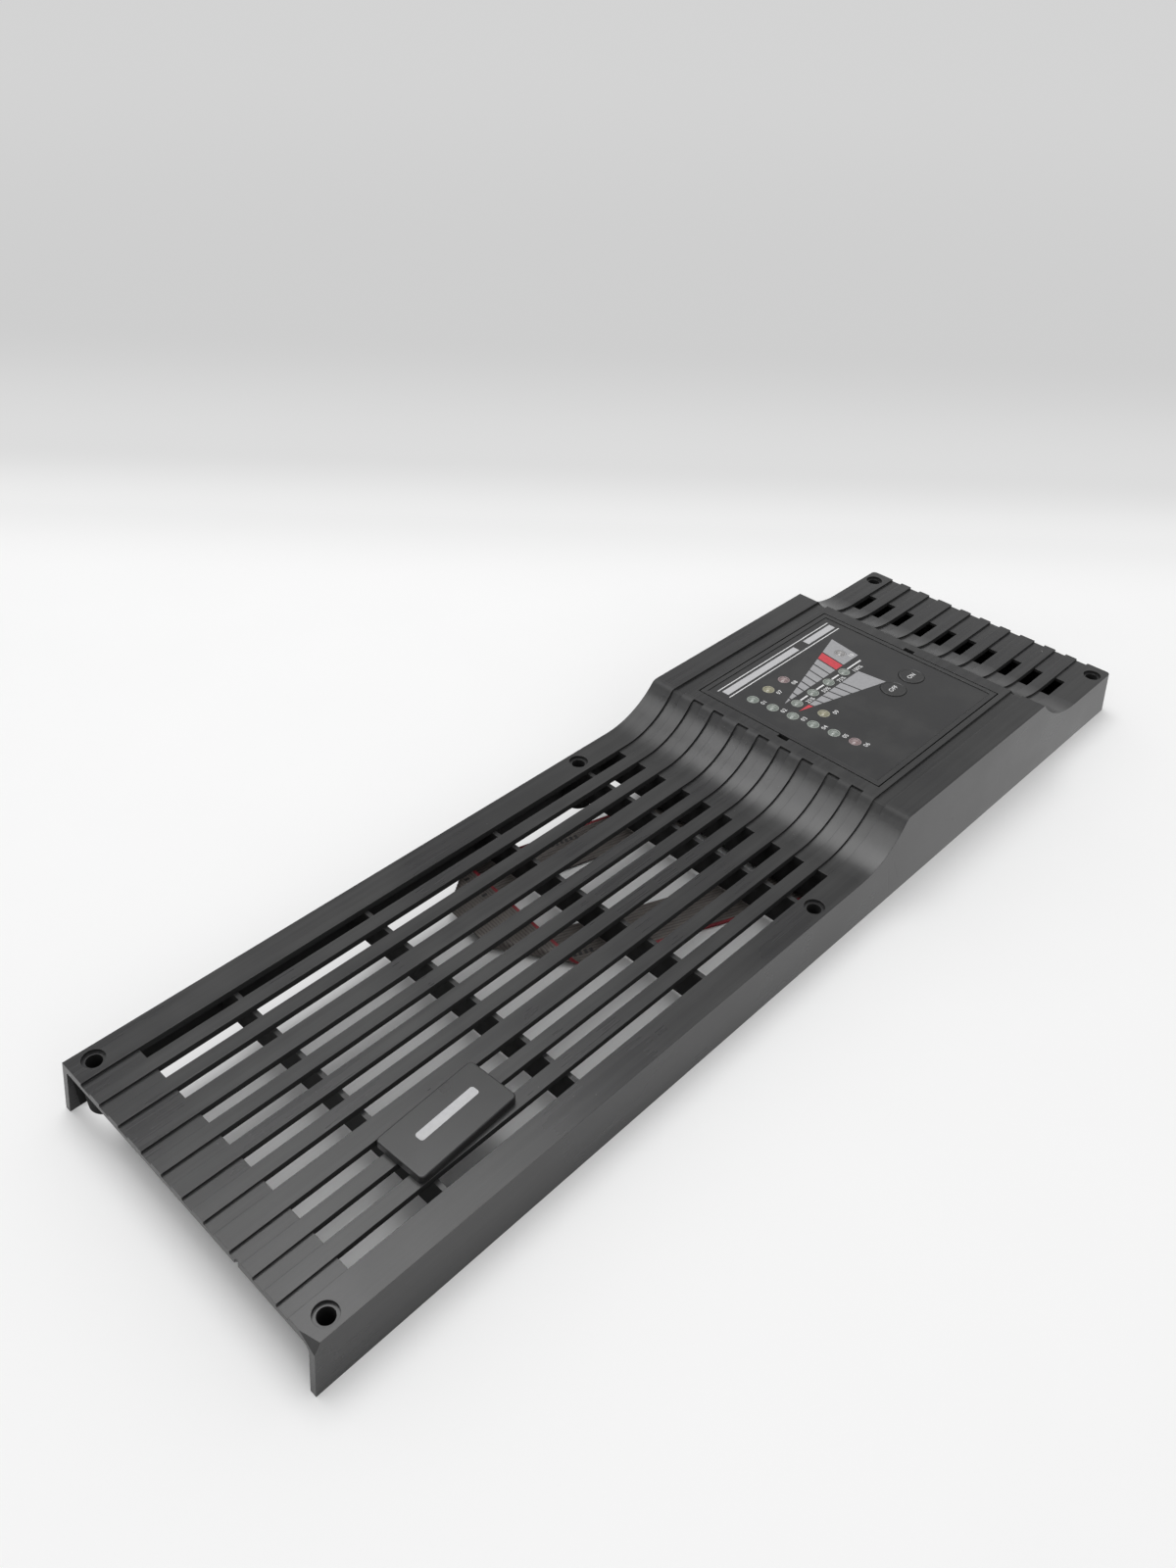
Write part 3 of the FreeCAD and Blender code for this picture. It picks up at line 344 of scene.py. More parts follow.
def mouldedPlastic(name, look):
    # textured moulding with rubbed edges, faint clouds of grease, dust specks and its own scratches, and painted
    # shade on the upright sides of its recesses where the look asks for it
    marks = mouldingMarks
    material, tree, shader = startMaterial(name)
    place = addNode(tree, "TexCoord").outputs["Object"]
    cloud = noiseOf(tree, place, look["cloud"], 3.0)
    colour = blendColour(tree, span(tree, cloud, *marks["cloudEdge"]), (*look["colour"], 1), (*look["faded"], 1))
    rough = span(tree, cloud, *marks["cloudEdge"], *look["rough"])
    if "streaks" in look:
        drawn = vectors(tree, "MULTIPLY", place, look["streaks"]["stretch"])
        streak = span(tree, noiseOf(tree, drawn, look["streaks"]["size"], 3.0, 0.6), *marks["streakEdge"])
        drawnShare = sums(tree, "MULTIPLY", streak, look["streaks"]["share"])
        colour = blendColour(tree, drawnShare, colour, grey(marks["streakTone"]))
        rough = sums(tree, "MULTIPLY_ADD", streak, look["streaks"]["rough"], rough)
    grain = noiseOf(tree, place, look["grain"], 2.0, 0.6)
    fine = noiseOf(tree, place, look["grain"] * marks["fineGrain"], 1.0)
    height = sums(tree, "MULTIPLY_ADD", fine, marks["fineShare"], grain)
    # rubbed edges: where the softened corner leaves the flat face
    soft = addNode(tree, "Bevel", {"samples": 6}, Radius=look["edge"] * mm).outputs[0]
    flat = addNode(tree, "NewGeometry").outputs["Normal"]
    bent = sums(tree, "SUBTRACT", 1.0, vectors(tree, "DOT_PRODUCT", soft, flat))
    patchy = span(tree, noiseOf(tree, place, marks["rubPatch"], 3.0), *marks["rubEdge"], marks["rubLeast"], 1.0)
    worn = sums(tree, "MULTIPLY", span(tree, bent, *marks["rubBend"]), patchy)
    colour = blendColour(tree, sums(tree, "MULTIPLY", worn, look["edgeWear"]), colour, (*look["worn"], 1))
    # dust specks
    cells = addNode(tree, "TexVoronoi", {"feature": "F1"}, Vector=place, Scale=1 / mm / marks["speckCell"])
    pick = addNode(tree, "SeparateColor", Color=cells.outputs["Color"])
    speck = sums(tree, "MULTIPLY", sums(tree, "LESS_THAN", cells.outputs["Distance"], marks["speckRadius"]),
                 sums(tree, "GREATER_THAN", pick.outputs[0], 1.0 - look["dust"]))
    speckShare = sums(tree, "MULTIPLY", speck, marks["speckShare"])
    colour = blendColour(tree, speckShare, colour, grey(marks["speckTone"]))
    # scratches that this one carries
    unsteady = addNode(tree, "TexNoise", Vector=place, Scale=marks["wobbleScale"], Detail=2.0).outputs[1]
    wobble = vectors(tree, "ADD", place, vectors(tree, "MULTIPLY", unsteady, marks["wobble"]))
    for scratch in look.get("scratches", []):
        share = scratchShare(tree, wobble, scratch)
        cover = sums(tree, "MULTIPLY", share, scratch["strength"])
        colour = blendColour(tree, cover, colour, grey(scratch["tone"]))
        height = sums(tree, "MULTIPLY_ADD", share, marks["scratchDeep"], height)
    bump = bumpOf(tree, height, look["bump"], marks["bumpDeep"], Normal=soft)
    setSockets(shader, {"Specular IOR Level": look["shine"], "IOR": 1.5})
    x, y, z = addNode(tree, "SeparateXYZ", Vector=place).outputs
    facing = sums(tree, "ABSOLUTE", addNode(tree, "SeparateXYZ", Vector=flat).outputs[2])
    upright = span(tree, facing, *marks["uprightEdge"])
    if "recess" in look:
        # painted shade: the upright sides of the slots, grooves, ribs and openings are darkened nearly to black,
        # and made duller
        recess = look["recess"]
        within = sums(tree, "MULTIPLY",
                      sums(tree, "LESS_THAN", sums(tree, "ABSOLUTE", x), recess["halfLong"] * mm),
                      sums(tree, "LESS_THAN", sums(tree, "ABSOLUTE", y), recess["halfWide"] * mm))
        deep = sums(tree, "MULTIPLY", upright, within)
        dark = sums(tree, "MULTIPLY", deep, recess["dark"])
        colour = blendColour(tree, dark, colour, grey(marks["recessTone"]))
        rough = sums(tree, "MULTIPLY_ADD", deep, recess["dull"], rough)
    if "brow" in look:
        # duller top edge of the ramp
        half = look["brow"]["half"] * mm
        away = sums(tree, "ABSOLUTE", sums(tree, "SUBTRACT", x, look["brow"]["along"] * mm))
        brow = sums(tree, "MULTIPLY", span(tree, away, half, marks["browEdge"] * half),
                    sums(tree, "GREATER_THAN", z, look["brow"]["above"] * mm))
        brow = sums(tree, "MULTIPLY", brow, sums(tree, "SUBTRACT", 1.0, upright))
        rough = sums(tree, "MULTIPLY_ADD", brow, look["brow"]["dull"], rough)
    rough = sums(tree, "MULTIPLY_ADD", worn, marks["rubGloss"], rough)
    joinShader(tree, shader, colour, rough, bump)
    return material


# Bezel moulding

bezelMoulding = {
    "colour": (0.017, 0.017, 0.018),
    "faded": (0.024, 0.024, 0.024),
    "worn": (0.12, 0.12, 0.12),
    "rough": (0.25, 0.33),
    "cloud": 38.0,
    "grain": 0.5,
    "bump": 0.2,
    "edge": 0.2,
    "edgeWear": 0.6,
    "dust": 0.05,
    "shine": 0.5,
    # painted shade on the upright sides of the slots, grooves and ribs, and duller there
    "recess": {"halfLong": 222.4, "halfWide": 63.4, "dark": 0.85, "dull": 0.6},
    "brow": {"along": 51.4, "half": 2.6, "above": 31.0, "dull": 0.3},
    "streaks": {"stretch": (0.025, 1.0, 0.5), "size": 2.4, "share": 0.22, "rough": 0.025},
    "scratches": [
        {"from": (124.2, -64.6, 21.6), "to": (125.0, -65.1, 11.8), "width": 0.45, "tone": 0.006, "strength": 0.9},
        {"from": (90.0, -64.5, 23.5), "to": (87.4, -64.5, 22.3), "width": 0.4, "tone": 0.006, "strength": 0.8},
        {"from": (93.6, -64.5, 23.2), "to": (93.2, -64.5, 21.6), "width": 0.4, "tone": 0.006, "strength": 0.7},
        {"from": (87.3, -64.9, 15.0), "to": (89.6, -65.1, 12.3), "width": 0.5, "tone": 0.005, "strength": 0.8},
        {"from": (101.2, -65.3, 7.4), "to": (101.1, -65.4, 5.2), "width": 0.5, "tone": 0.005, "strength": 0.8},
        {"from": (101.6, -64.5, 22.4), "to": (102.7, -64.8, 17.2), "width": 0.35, "tone": 0.008, "strength": 0.6},
        {"from": (45.5, -64.8, 17.3), "to": (50.6, -65.4, 5.9), "width": 0.7, "tone": 0.010, "strength": 0.5},
        {"from": (42.0, -64.8, 16.5), "to": (44.6, -65.5, 3.1), "width": 0.6, "tone": 0.010, "strength": 0.4},
        {"from": (217.0, -33.4, 20.5), "to": (219.2, -31.6, 20.5), "width": 0.35, "tone": 0.30, "strength": 0.8},
        {"from": (183.0, -14.6, 20.8), "to": (183.9, -13.6, 20.7), "width": 0.35, "tone": 0.26, "strength": 0.7},
    ],
}

badgePlate = {
    "colour": (0.014, 0.014, 0.015),
    "faded": (0.019, 0.019, 0.019),
    "worn": (0.10, 0.10, 0.10),
    "rough": (0.26, 0.34),
    "cloud": 16.0,
    "grain": 0.4,
    "bump": 0.12,
    "edge": 0.3,
    "edgeWear": 0.5,
    "dust": 0.03,
    "shine": 0.5,
}

panelMoulding = {
    "colour": (0.020, 0.020, 0.021),
    "faded": (0.027, 0.027, 0.027),
    "worn": (0.13, 0.13, 0.13),
    "rough": (0.32, 0.40),
    "cloud": 24.0,
    "grain": 0.45,
    "bump": 0.18,
    "edge": 0.2,
    "edgeWear": 0.6,
    "dust": 0.04,
    "shine": 0.5,
    # painted shade on the upright sides of the panel's openings, and duller there
    "recess": {"halfLong": 300.0, "halfWide": 100.0, "dark": 0.85, "dull": 0.5},
}

buttonCap = {
    "colour": (0.018, 0.018, 0.019),
    "faded": (0.023, 0.023, 0.023),
    "worn": (0.06, 0.06, 0.06),
    "rough": (0.32, 0.40),
    "cloud": 6.0,
    "grain": 0.3,
    "bump": 0.10,
    "edge": 0.2,
    "edgeWear": 0.5,
    "dust": 0.02,
    "shine": 0.5,
}

switchCase = {
    "colour": (0.016, 0.016, 0.017),
    "faded": (0.022, 0.022, 0.022),
    "worn": (0.07, 0.07, 0.07),
    "rough": (0.45, 0.55),
    "cloud": 4.0,
    "grain": 0.3,
    "bump": 0.10,
    "edge": 0.2,
    "edgeWear": 0.4,
    "dust": 0.0,
    "shine": 0.4,
}

plungerPlastic = dict(switchCase, colour=(0.16, 0.07, 0.03), faded=(0.19, 0.09, 0.04), worn=(0.3, 0.18, 0.1))
connectorPlastic = dict(switchCase, colour=(0.26, 0.26, 0.25), faded=(0.33, 0.32, 0.30), worn=(0.45, 0.44, 0.42))
socketPlastic = dict(switchCase, colour=(0.018, 0.018, 0.020), faded=(0.024, 0.024, 0.026),
                     worn=(0.10, 0.10, 0.10), edgeWear=0.6)
resistorBody = dict(switchCase, colour=(0.46, 0.27, 0.05), faded=(0.54, 0.33, 0.07), worn=(0.62, 0.45, 0.16))

mouldedParts = (
    ("bezel_frame", "bezelMoulding", bezelMoulding),
    ("badge", "badgePlate", badgePlate),
    ("display_panel", "panelMoulding", panelMoulding),
    ("on_button", "on_buttonCap", buttonCap),
    ("off_button", "off_buttonCap", buttonCap),
    ("on_switch", "on_switchCase", switchCase),
    ("off_switch", "off_switchCase", switchCase),
    ("on_plunger", "on_plungerPlastic", plungerPlastic),
    ("off_plunger", "off_plungerPlastic", plungerPlastic),
    ("board_header", "board_headerPlastic", connectorPlastic),
    ("ribbon_plug", "ribbon_plugPlastic", connectorPlastic),
    ("ribbon_socket", "socketPlastic", socketPlastic),
    ("resistor_packs", "resistorBody", resistorBody),
)
for partName, finish, look in mouldedParts:
    dress(parts[partName], mouldedPlastic(finish, look))
print("mouldings dressed")


# Film on the panel

filmSatin = {
    "colour": (0.017, 0.017, 0.018),
    "smudged": (0.024, 0.024, 0.024),
    "rough": (0.30, 0.42),
    "smudge": 22.0,
    "smudgeEdge": (0.42, 0.68),
    "matt": 0.25,
    "mattRough": 0.05,
    "edge": 0.15,
}


def makeFilmSatin(look):
    material, tree, shader = startMaterial("filmSatin")
    place = addNode(tree, "TexCoord").outputs["Object"]
    smudge = span(tree, noiseOf(tree, place, look["smudge"], 4.0, 0.65), *look["smudgeEdge"])
    matt = noiseOf(tree, place, look["matt"], 1.0)
    colour = blendColour(tree, smudge, (*look["colour"], 1), (*look["smudged"], 1))
    rough = span(tree, smudge, 0.0, 1.0, *look["rough"])
    rough = sums(tree, "MULTIPLY_ADD", matt, look["mattRough"], rough)
    soft = addNode(tree, "Bevel", {"samples": 4}, Radius=look["edge"] * mm).outputs[0]
    joinShader(tree, shader, colour, rough, bumpOf(tree, matt, 0.08, 0.03, Normal=soft))
    setSockets(shader, {"Specular IOR Level": 0.5, "IOR": 1.52})
    return material


dress(parts["overlay_film"], makeFilmSatin(filmSatin))


# Indicator lamps

lampLenses = {
    # the paler middle colour of each lens is partly a painted highlight
    "lampGreen": {"lamps": (1, 2, 3, 4, 5, 9, 10, 11, 12), "slot": "lamp_green", "coreHighlight": (0.33, 0.36, 0.33),
                  "lens": (0.23, 0.26, 0.235), "rim": (0.31, 0.34, 0.31)},
    "lampYellow": {"lamps": (7, 13), "slot": "lamp_yellow", "coreHighlight": (0.40, 0.38, 0.27),
                   "lens": (0.30, 0.285, 0.19), "rim": (0.36, 0.35, 0.26)},
    "lampRed": {"lamps": (6, 8), "slot": "lamp_red", "coreHighlight": (0.36, 0.27, 0.27),
                "lens": (0.26, 0.185, 0.185), "rim": (0.30, 0.23, 0.235)},
    "lampGrey": {"lamps": (14,), "slot": "lamp_grey", "coreHighlight": (0.42, 0.41, 0.41),
                 "lens": (0.30, 0.29, 0.29), "rim": (0.38, 0.375, 0.375)},
}
# width of a lamp, and how far from its middle the pale core, a painted highlight, ends and the rim's colour starts
lampRings = {"across": 5.8, "coreHighlight": (0.5, 1.2), "rim": (1.9, 2.3), "frost": 0.6, "uneven": 0.25}
frostEdge = (0.3, 0.7)


def makeLampLens(name, look):
    # frosted lens: pale core over the crystal, painted paler as a highlight too, and a darker body
    material, tree, shader = startMaterial(name)
    coord = addNode(tree, "TexCoord")
    middle = vectors(tree, "SUBTRACT", coord.outputs["Generated"], (0.5, 0.5, 0.5))
    away = vectors(tree, "LENGTH", vectors(tree, "MULTIPLY", middle, (1, 1, 0)))
    away = sums(tree, "MULTIPLY", away, lampRings["across"])
    frost = noiseOf(tree, coord.outputs["Object"], lampRings["frost"], 2.0)
    ring = sums(tree, "MULTIPLY_ADD", frost, lampRings["uneven"], away)
    colour = blendColour(tree, span(tree, ring, *lampRings["coreHighlight"]), (*look["coreHighlight"], 1), (*look["lens"], 1))
    colour = blendColour(tree, span(tree, ring, *lampRings["rim"]), colour, (*look["rim"], 1))
    rough = span(tree, frost, *frostEdge, 0.16, 0.30)
    joinShader(tree, shader, colour, rough, bumpOf(tree, frost, 0.05, 0.04))
    setSockets(shader, {"IOR": 1.54, "Transmission Weight": 0.12, "Subsurface Weight": 0.25,
                        "Subsurface Radius": (0.8 * mm, 0.8 * mm, 0.8 * mm), "Coat Weight": 0.3,
                        "Coat Roughness": 0.08})
    return material


# rim round each lens, from the lens edge up to the film: away from the lamp's middle and above the film
lampRim = {
    "line": [(2.02, -0.30), (2.06, -0.08), (2.18, 0.03), (2.36, 0.05),
             (2.52, 0.01), (2.6, -0.1), (2.6, -0.6), (2.4, -0.66)],
    "steps": 40,
    "frost": 0.5,
    "dull": 0.85,
}


def makeRimPlastic(name, look):
    material, tree, shader = startMaterial(name)
    place = addNode(tree, "TexCoord").outputs["Object"]
    frost = noiseOf(tree, place, lampRim["frost"], 2.0)
    dull = tuple(lampRim["dull"] * tone for tone in look["rim"])
    colour = blendColour(tree, frost, (*look["rim"], 1), (*dull, 1))
    rough = span(tree, frost, *frostEdge, 0.24, 0.36)
    joinShader(tree, shader, colour, rough, bumpOf(tree, frost, 0.06, 0.03))
    return material


def makeLampRims(name, look):
    bm = bmesh.new()
    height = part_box("overlay_film")[1][2]
    for number in look["lamps"]:
        low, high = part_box("lamp_%02d" % number)
        middle = Vector(((low[0] + high[0]) / 2, (low[1] + high[1]) / 2, height))
        rings = []
        for step in range(lampRim["steps"]):
            a = 2 * math.pi * step / lampRim["steps"]
            rings.append([bm.verts.new(middle + Vector((r * math.cos(a), r * math.sin(a), z)) * mm)
                          for r, z in lampRim["line"]])
        for here, there in zip(rings, rings[1:] + rings[:1]):
            for spot in range(len(here)):
                face = bm.faces.new((here[spot - 1], there[spot - 1], there[spot], here[spot]))
                face.smooth = True
    bmesh.ops.recalc_face_normals(bm, faces=bm.faces)
    piece = newPiece(name, meshFrom(bm, name), "bezel", look["slot"])
    dress(piece, makeRimPlastic(name, look))


for lensName, look in lampLenses.items():
    lens = makeLampLens(lensName, look)
    for number in look["lamps"]:
        dress(parts["lamp_%02d" % number], lens)
    makeLampRims(lensName + "Rims", look)
print("film and lamps dressed")


# Print on the film: two rules with plain bars between them, two scales in steps, ticks and numbers

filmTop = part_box("overlay_film")[1][2]
panelMiddle = (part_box("overlay_film")[0][0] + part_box("overlay_film")[1][0]) / 2 / mm
inkLift = 0.025 * mm

filmPrint = {
    "rules": [(-39.65, 39.3, 39.35, 0.5), (-39.65, 33.0, 39.35, 0.5)],
    "bars": [(-38.6, 36.15, 11.4, 3.3), (18.4, 36.15, 38.6, 3.3)],
    "ticks": [(-19.65, 10.9, -14.65, 0.8), (-8.35, 10.9, -3.15, 0.8),
              (2.85, 10.9, 7.85, 0.8), (14.35, 10.9, 24.35, 0.8)],
    "upperScale": {"tip": (-26.65, 14.0), "slope": 0.2804, "lean": 0.152, "gap": 0.7, "red": 8,
                   "steps": [-26.65, -22.15, -17.85, -13.15, -8.65, -4.15, 0.55, 5.45, 10.05, 15.55, 27.35]},
    "lowerScale": {"tip": (-26.65, 6.6), "slope": -0.2892, "lean": -0.137, "gap": 0.7, "red": 0,
                   "steps": [-26.65, -19.45, -14.95, -10.15, -5.45, -0.95, 3.85, 16.85]},
    # window in the last step of the upper scale
    "scaleLamp": {"middle": (22.4, 20.3), "radius": 2.66, "steps": 36},
    "numberTall": 1.9,
    "numbers": [("25%", -16.6, 8.0), ("50%", -5.4, 8.0), ("75%", 5.9, 8.0), ("100%", 17.8, 8.0),
                ("01", -32.1, 20.6), ("02", -30.8, 11.2), ("03", -29.5, 1.8), ("04", -28.2, -7.6),
                ("05", -26.9, -17.0), ("06", -25.6, -26.4), ("07", -21.4, 20.6), ("08", -10.8, 20.6),
                ("09", -16.0, -4.6), ("10", 24.6, 16.0)],
}


def addField(bm, corners, height, holes=()):
    # a flat printed field, with round windows where a lamp comes through
    loops = [[Vector((x, y, 0)) for x, y in loop] for loop in (corners, *holes)]
    spots = [bm.verts.new((v.x * mm, v.y * mm, height)) for loop in loops for v in loop]
    for triangle in tessellate_polygon(loops):
        bm.faces.new([spots[i] for i in triangle])


def strip(x0, y, x1, tall):
    return [(panelMiddle + x0, y - tall / 2), (panelMiddle + x1, y - tall / 2), (panelMiddle + x1, y + tall / 2),
            (panelMiddle + x0, y + tall / 2)]


def scaleSteps(scale):
    tipX, tipY = scale["tip"]
    for number in range(len(scale["steps"]) - 1):
        corners = []
        for foot in (scale["steps"][number] + scale["gap"] / 2, scale["steps"][number + 1] - scale["gap"] / 2):
            rise = scale["slope"] * (foot - tipX) / (1 - scale["slope"] * scale["lean"])
            corners.append([(panelMiddle + foot, tipY), (panelMiddle + foot + scale["lean"] * rise, tipY + rise)])
        yield number, [corners[0][0], corners[1][0], corners[1][1], corners[0][1]]


# capitals of the built-in font are 0.69 of its size; the ink spreads a little past each letter
printedLetters = {"capital": 0.69, "smooth": 3, "apart": 1.08, "spread": 0.03}


def lettersMesh(words, tall, place):
    curve = bpy.data.curves.new("words", "FONT")
    curve.body = words
    curve.size = tall * mm / printedLetters["capital"]
    curve.align_x = "CENTER"
    curve.align_y = "CENTER"
    curve.resolution_u = printedLetters["smooth"]
    curve.space_character = printedLetters["apart"]
    curve.offset = printedLetters["spread"] * mm
    holder = bpy.data.objects.new("words", curve)
    mesh = bpy.data.meshes.new_from_object(holder)
    mesh.transform(Matrix.Translation(place))
    bpy.data.objects.remove(holder)
    bpy.data.curves.remove(curve)
    return mesh


def finishPrint(bm, name, body, slot, material):
    bmesh.ops.recalc_face_normals(bm, faces=bm.faces)
    for face in bm.faces:
        if face.normal.z < 0:
            face.normal_flip()
    dress(newPiece(name, meshFrom(bm, name), body, slot), material)


screenInk = {"patch": 1.4, "patchEdge": (0.25, 0.75), "rough": (0.50, 0.38), "shine": 0.4}


def printInk(name, colour, thin):
    # screen ink: slightly uneven cover, a little duller than the film
    material, tree, shader = startMaterial(name)
    place = addNode(tree, "TexCoord").outputs["Object"]
    cover = span(tree, noiseOf(tree, place, screenInk["patch"], 4.0, 0.7), *screenInk["patchEdge"])
    shade = blendColour(tree, cover, (*thin, 1), (*colour, 1))
    rough = span(tree, cover, 0.0, 1.0, *screenInk["rough"])
    joinShader(tree, shader, shade, rough, bumpOf(tree, cover, 0.1, 0.02))
    setSockets(shader, {"Specular IOR Level": screenInk["shine"]})
    return material


whiteInk = printInk("whiteInk", (0.80, 0.80, 0.80), (0.66, 0.66, 0.66))
greyInk = printInk("greyInk", (0.35, 0.35, 0.36), (0.31, 0.31, 0.32))
redInk = printInk("redInk", (0.62, 0.055, 0.075), (0.50, 0.045, 0.06))
barInk = printInk("barInk", (0.52, 0.52, 0.53), (0.47, 0.47, 0.48))


def makeFilmPrint(look):
    height = filmTop + inkLift
    white, pale, red, bars = bmesh.new(), bmesh.new(), bmesh.new(), bmesh.new()
    for field in look["rules"] + look["ticks"]:
        addField(white, strip(*field), height)
    for field in look["bars"]:
        addField(bars, strip(*field), height)
    (x, y), r, steps = look["scaleLamp"]["middle"], look["scaleLamp"]["radius"], look["scaleLamp"]["steps"]
    turns = [2 * math.pi * step / steps for step in range(steps)]
    window = [(panelMiddle + x + r * math.cos(turn), y - r * math.sin(turn)) for turn in turns]
    for scale in (look["upperScale"], look["lowerScale"]):
        for number, corners in scaleSteps(scale):
            last = scale is look["upperScale"] and number == len(scale["steps"]) - 2
            addField(red if number == scale["red"] else pale, corners, height, [window] if last else [])
    for words, x, y in look["numbers"]:
        mesh = lettersMesh(words, look["numberTall"], Vector(((panelMiddle + x) * mm, y * mm, height + inkLift)))
        white.from_mesh(mesh)
        bpy.data.meshes.remove(mesh)
    finishPrint(white, "printWhite", "bezel", "film_black", whiteInk)
    finishPrint(pale, "printGrey", "bezel", "film_black", greyInk)
    finishPrint(red, "printRed", "bezel", "film_black", redInk)
    finishPrint(bars, "printBars", "bezel", "film_black", barInk)


makeFilmPrint(filmPrint)

buttonWords = {"tall": 2.0, "words": {"off_button": "OFF", "on_button": "ON"}, "dish": 0.15}


def makeButtonWords(look):
    for cap, words in look["words"].items():
        low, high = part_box(cap)
        place = Vector(((low[0] + high[0]) / 2, (low[1] + high[1]) / 2, high[2] - look["dish"] * mm + inkLift))
        bm = bmesh.new()
        mesh = lettersMesh(words, look["tall"], place)
        bm.from_mesh(mesh)
        bpy.data.meshes.remove(mesh)
        finishPrint(bm, cap + "Word", cap, "button_black", whiteInk)


makeButtonWords(buttonWords)

badgeBar = {"long": 24.0, "tall": 3.4, "round": 1.0, "roundSteps": 6, "shift": (1.0, 0.9), "turn": 3.0}


def makeBadgeBar(look):
    low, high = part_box("badge")
    middle = Vector(((low[0] + high[0]) / 2 / mm, (low[1] + high[1]) / 2 / mm))
    bow, steps = look["round"], look["roundSteps"]
    t = math.radians(look["turn"])
    bm = bmesh.new()
    corners = []
    for number, (sx, sy) in enumerate(((1, 1), (-1, 1), (-1, -1), (1, -1))):
        for step in range(steps + 1):
            a = math.radians(90 * number + 90 / steps * step)
            x = sx * (look["long"] / 2 - bow) + bow * math.cos(a) + look["shift"][0]
            y = sy * (look["tall"] / 2 - bow) + bow * math.sin(a) + look["shift"][1]
            turned = Vector((x * math.cos(t) - y * math.sin(t), x * math.sin(t) + y * math.cos(t)))
            corners.append(middle + turned)
    addField(bm, corners, high[2] + inkLift)
    finishPrint(bm, "badgeBar", "badge", "badge_black", barInk)


makeBadgeBar(badgeBar)
print("print laid")


# Lamp board, screws and ribbon finishes

boardMask = {
    "mask": (0.012, 0.10, 0.035),
    "track": (0.02, 0.16, 0.055),
    "pad": (0.55, 0.54, 0.50),
    "trackScale": 140.0,
    "trackWide": 0.035,
    "padScale": 200.0,
    "padEdge": (0.2, 0.17),
}


def makeBoardMask(look):
    material, tree, shader = startMaterial("boardMask")
    place = addNode(tree, "TexCoord").outputs["Object"]
    bricks = addNode(tree, "TexBrick", Vector=place, Scale=look["trackScale"],
                     Color1=grey(0), Color2=grey(0), Mortar=grey(1))
    setSockets(bricks, {"Mortar Size": look["trackWide"]})
    tracks = bricks.outputs["Color"]
    colour = blendColour(tree, tracks, (*look["mask"], 1), (*look["track"], 1))
    dots = addNode(tree, "TexVoronoi", {"feature": "F1"}, Vector=place, Scale=look["padScale"])
    pads = span(tree, dots.outputs["Distance"], *look["padEdge"])
    colour = blendColour(tree, pads, colour, (*look["pad"], 1))
    rough = span(tree, pads, 0.0, 1.0, 0.32, 0.22)
    joinShader(tree, shader, colour, rough, bumpOf(tree, tracks, 0.3, 0.05))
    tree.links.new(pads, shader.inputs["Metallic"])
    return material


screwSteel = {"dull": (0.46, 0.44, 0.40), "bright": (0.66, 0.65, 0.62), "patch": 1.2, "rough": (0.24, 0.40)}


def makeScrewSteel(look):
    material, tree, shader = startMaterial("screwSteel")
    place = addNode(tree, "TexCoord").outputs["Object"]
    wear = noiseOf(tree, place, look["patch"], 4.0, 0.65)
    colour = blendColour(tree, wear, (*look["dull"], 1), (*look["bright"], 1))
    rough = span(tree, wear, 0.3, 0.7, *look["rough"])
    joinShader(tree, shader, colour, rough, bumpOf(tree, wear, 0.15, 0.03))
    setSockets(shader, {"Metallic": 1.0})
    return material


ribbonVinyl = {
    "wire": (0.13, 0.115, 0.105),
    "web": (0.055, 0.047, 0.043),
    "webEdge": (0.04, 0.24),
    "rubbed": (0.19, 0.175, 0.16),
    "rubShare": 0.35,
    "stripe": (0.26, 0.02, 0.03),
    "mark": (0.02, 0.02, 0.02),
    # short marks in groups: groups along the lead, marked share of a group, cuts along the lead, gap of a cut,
    # place and half width across the lead
    "groups": 6.0,
    "groupShare": 0.30,
    "cuts": 150.0,
    "cutGap": 0.45,
    "across": (0.28, 0.055),
    "rough": (0.42, 0.56),
}


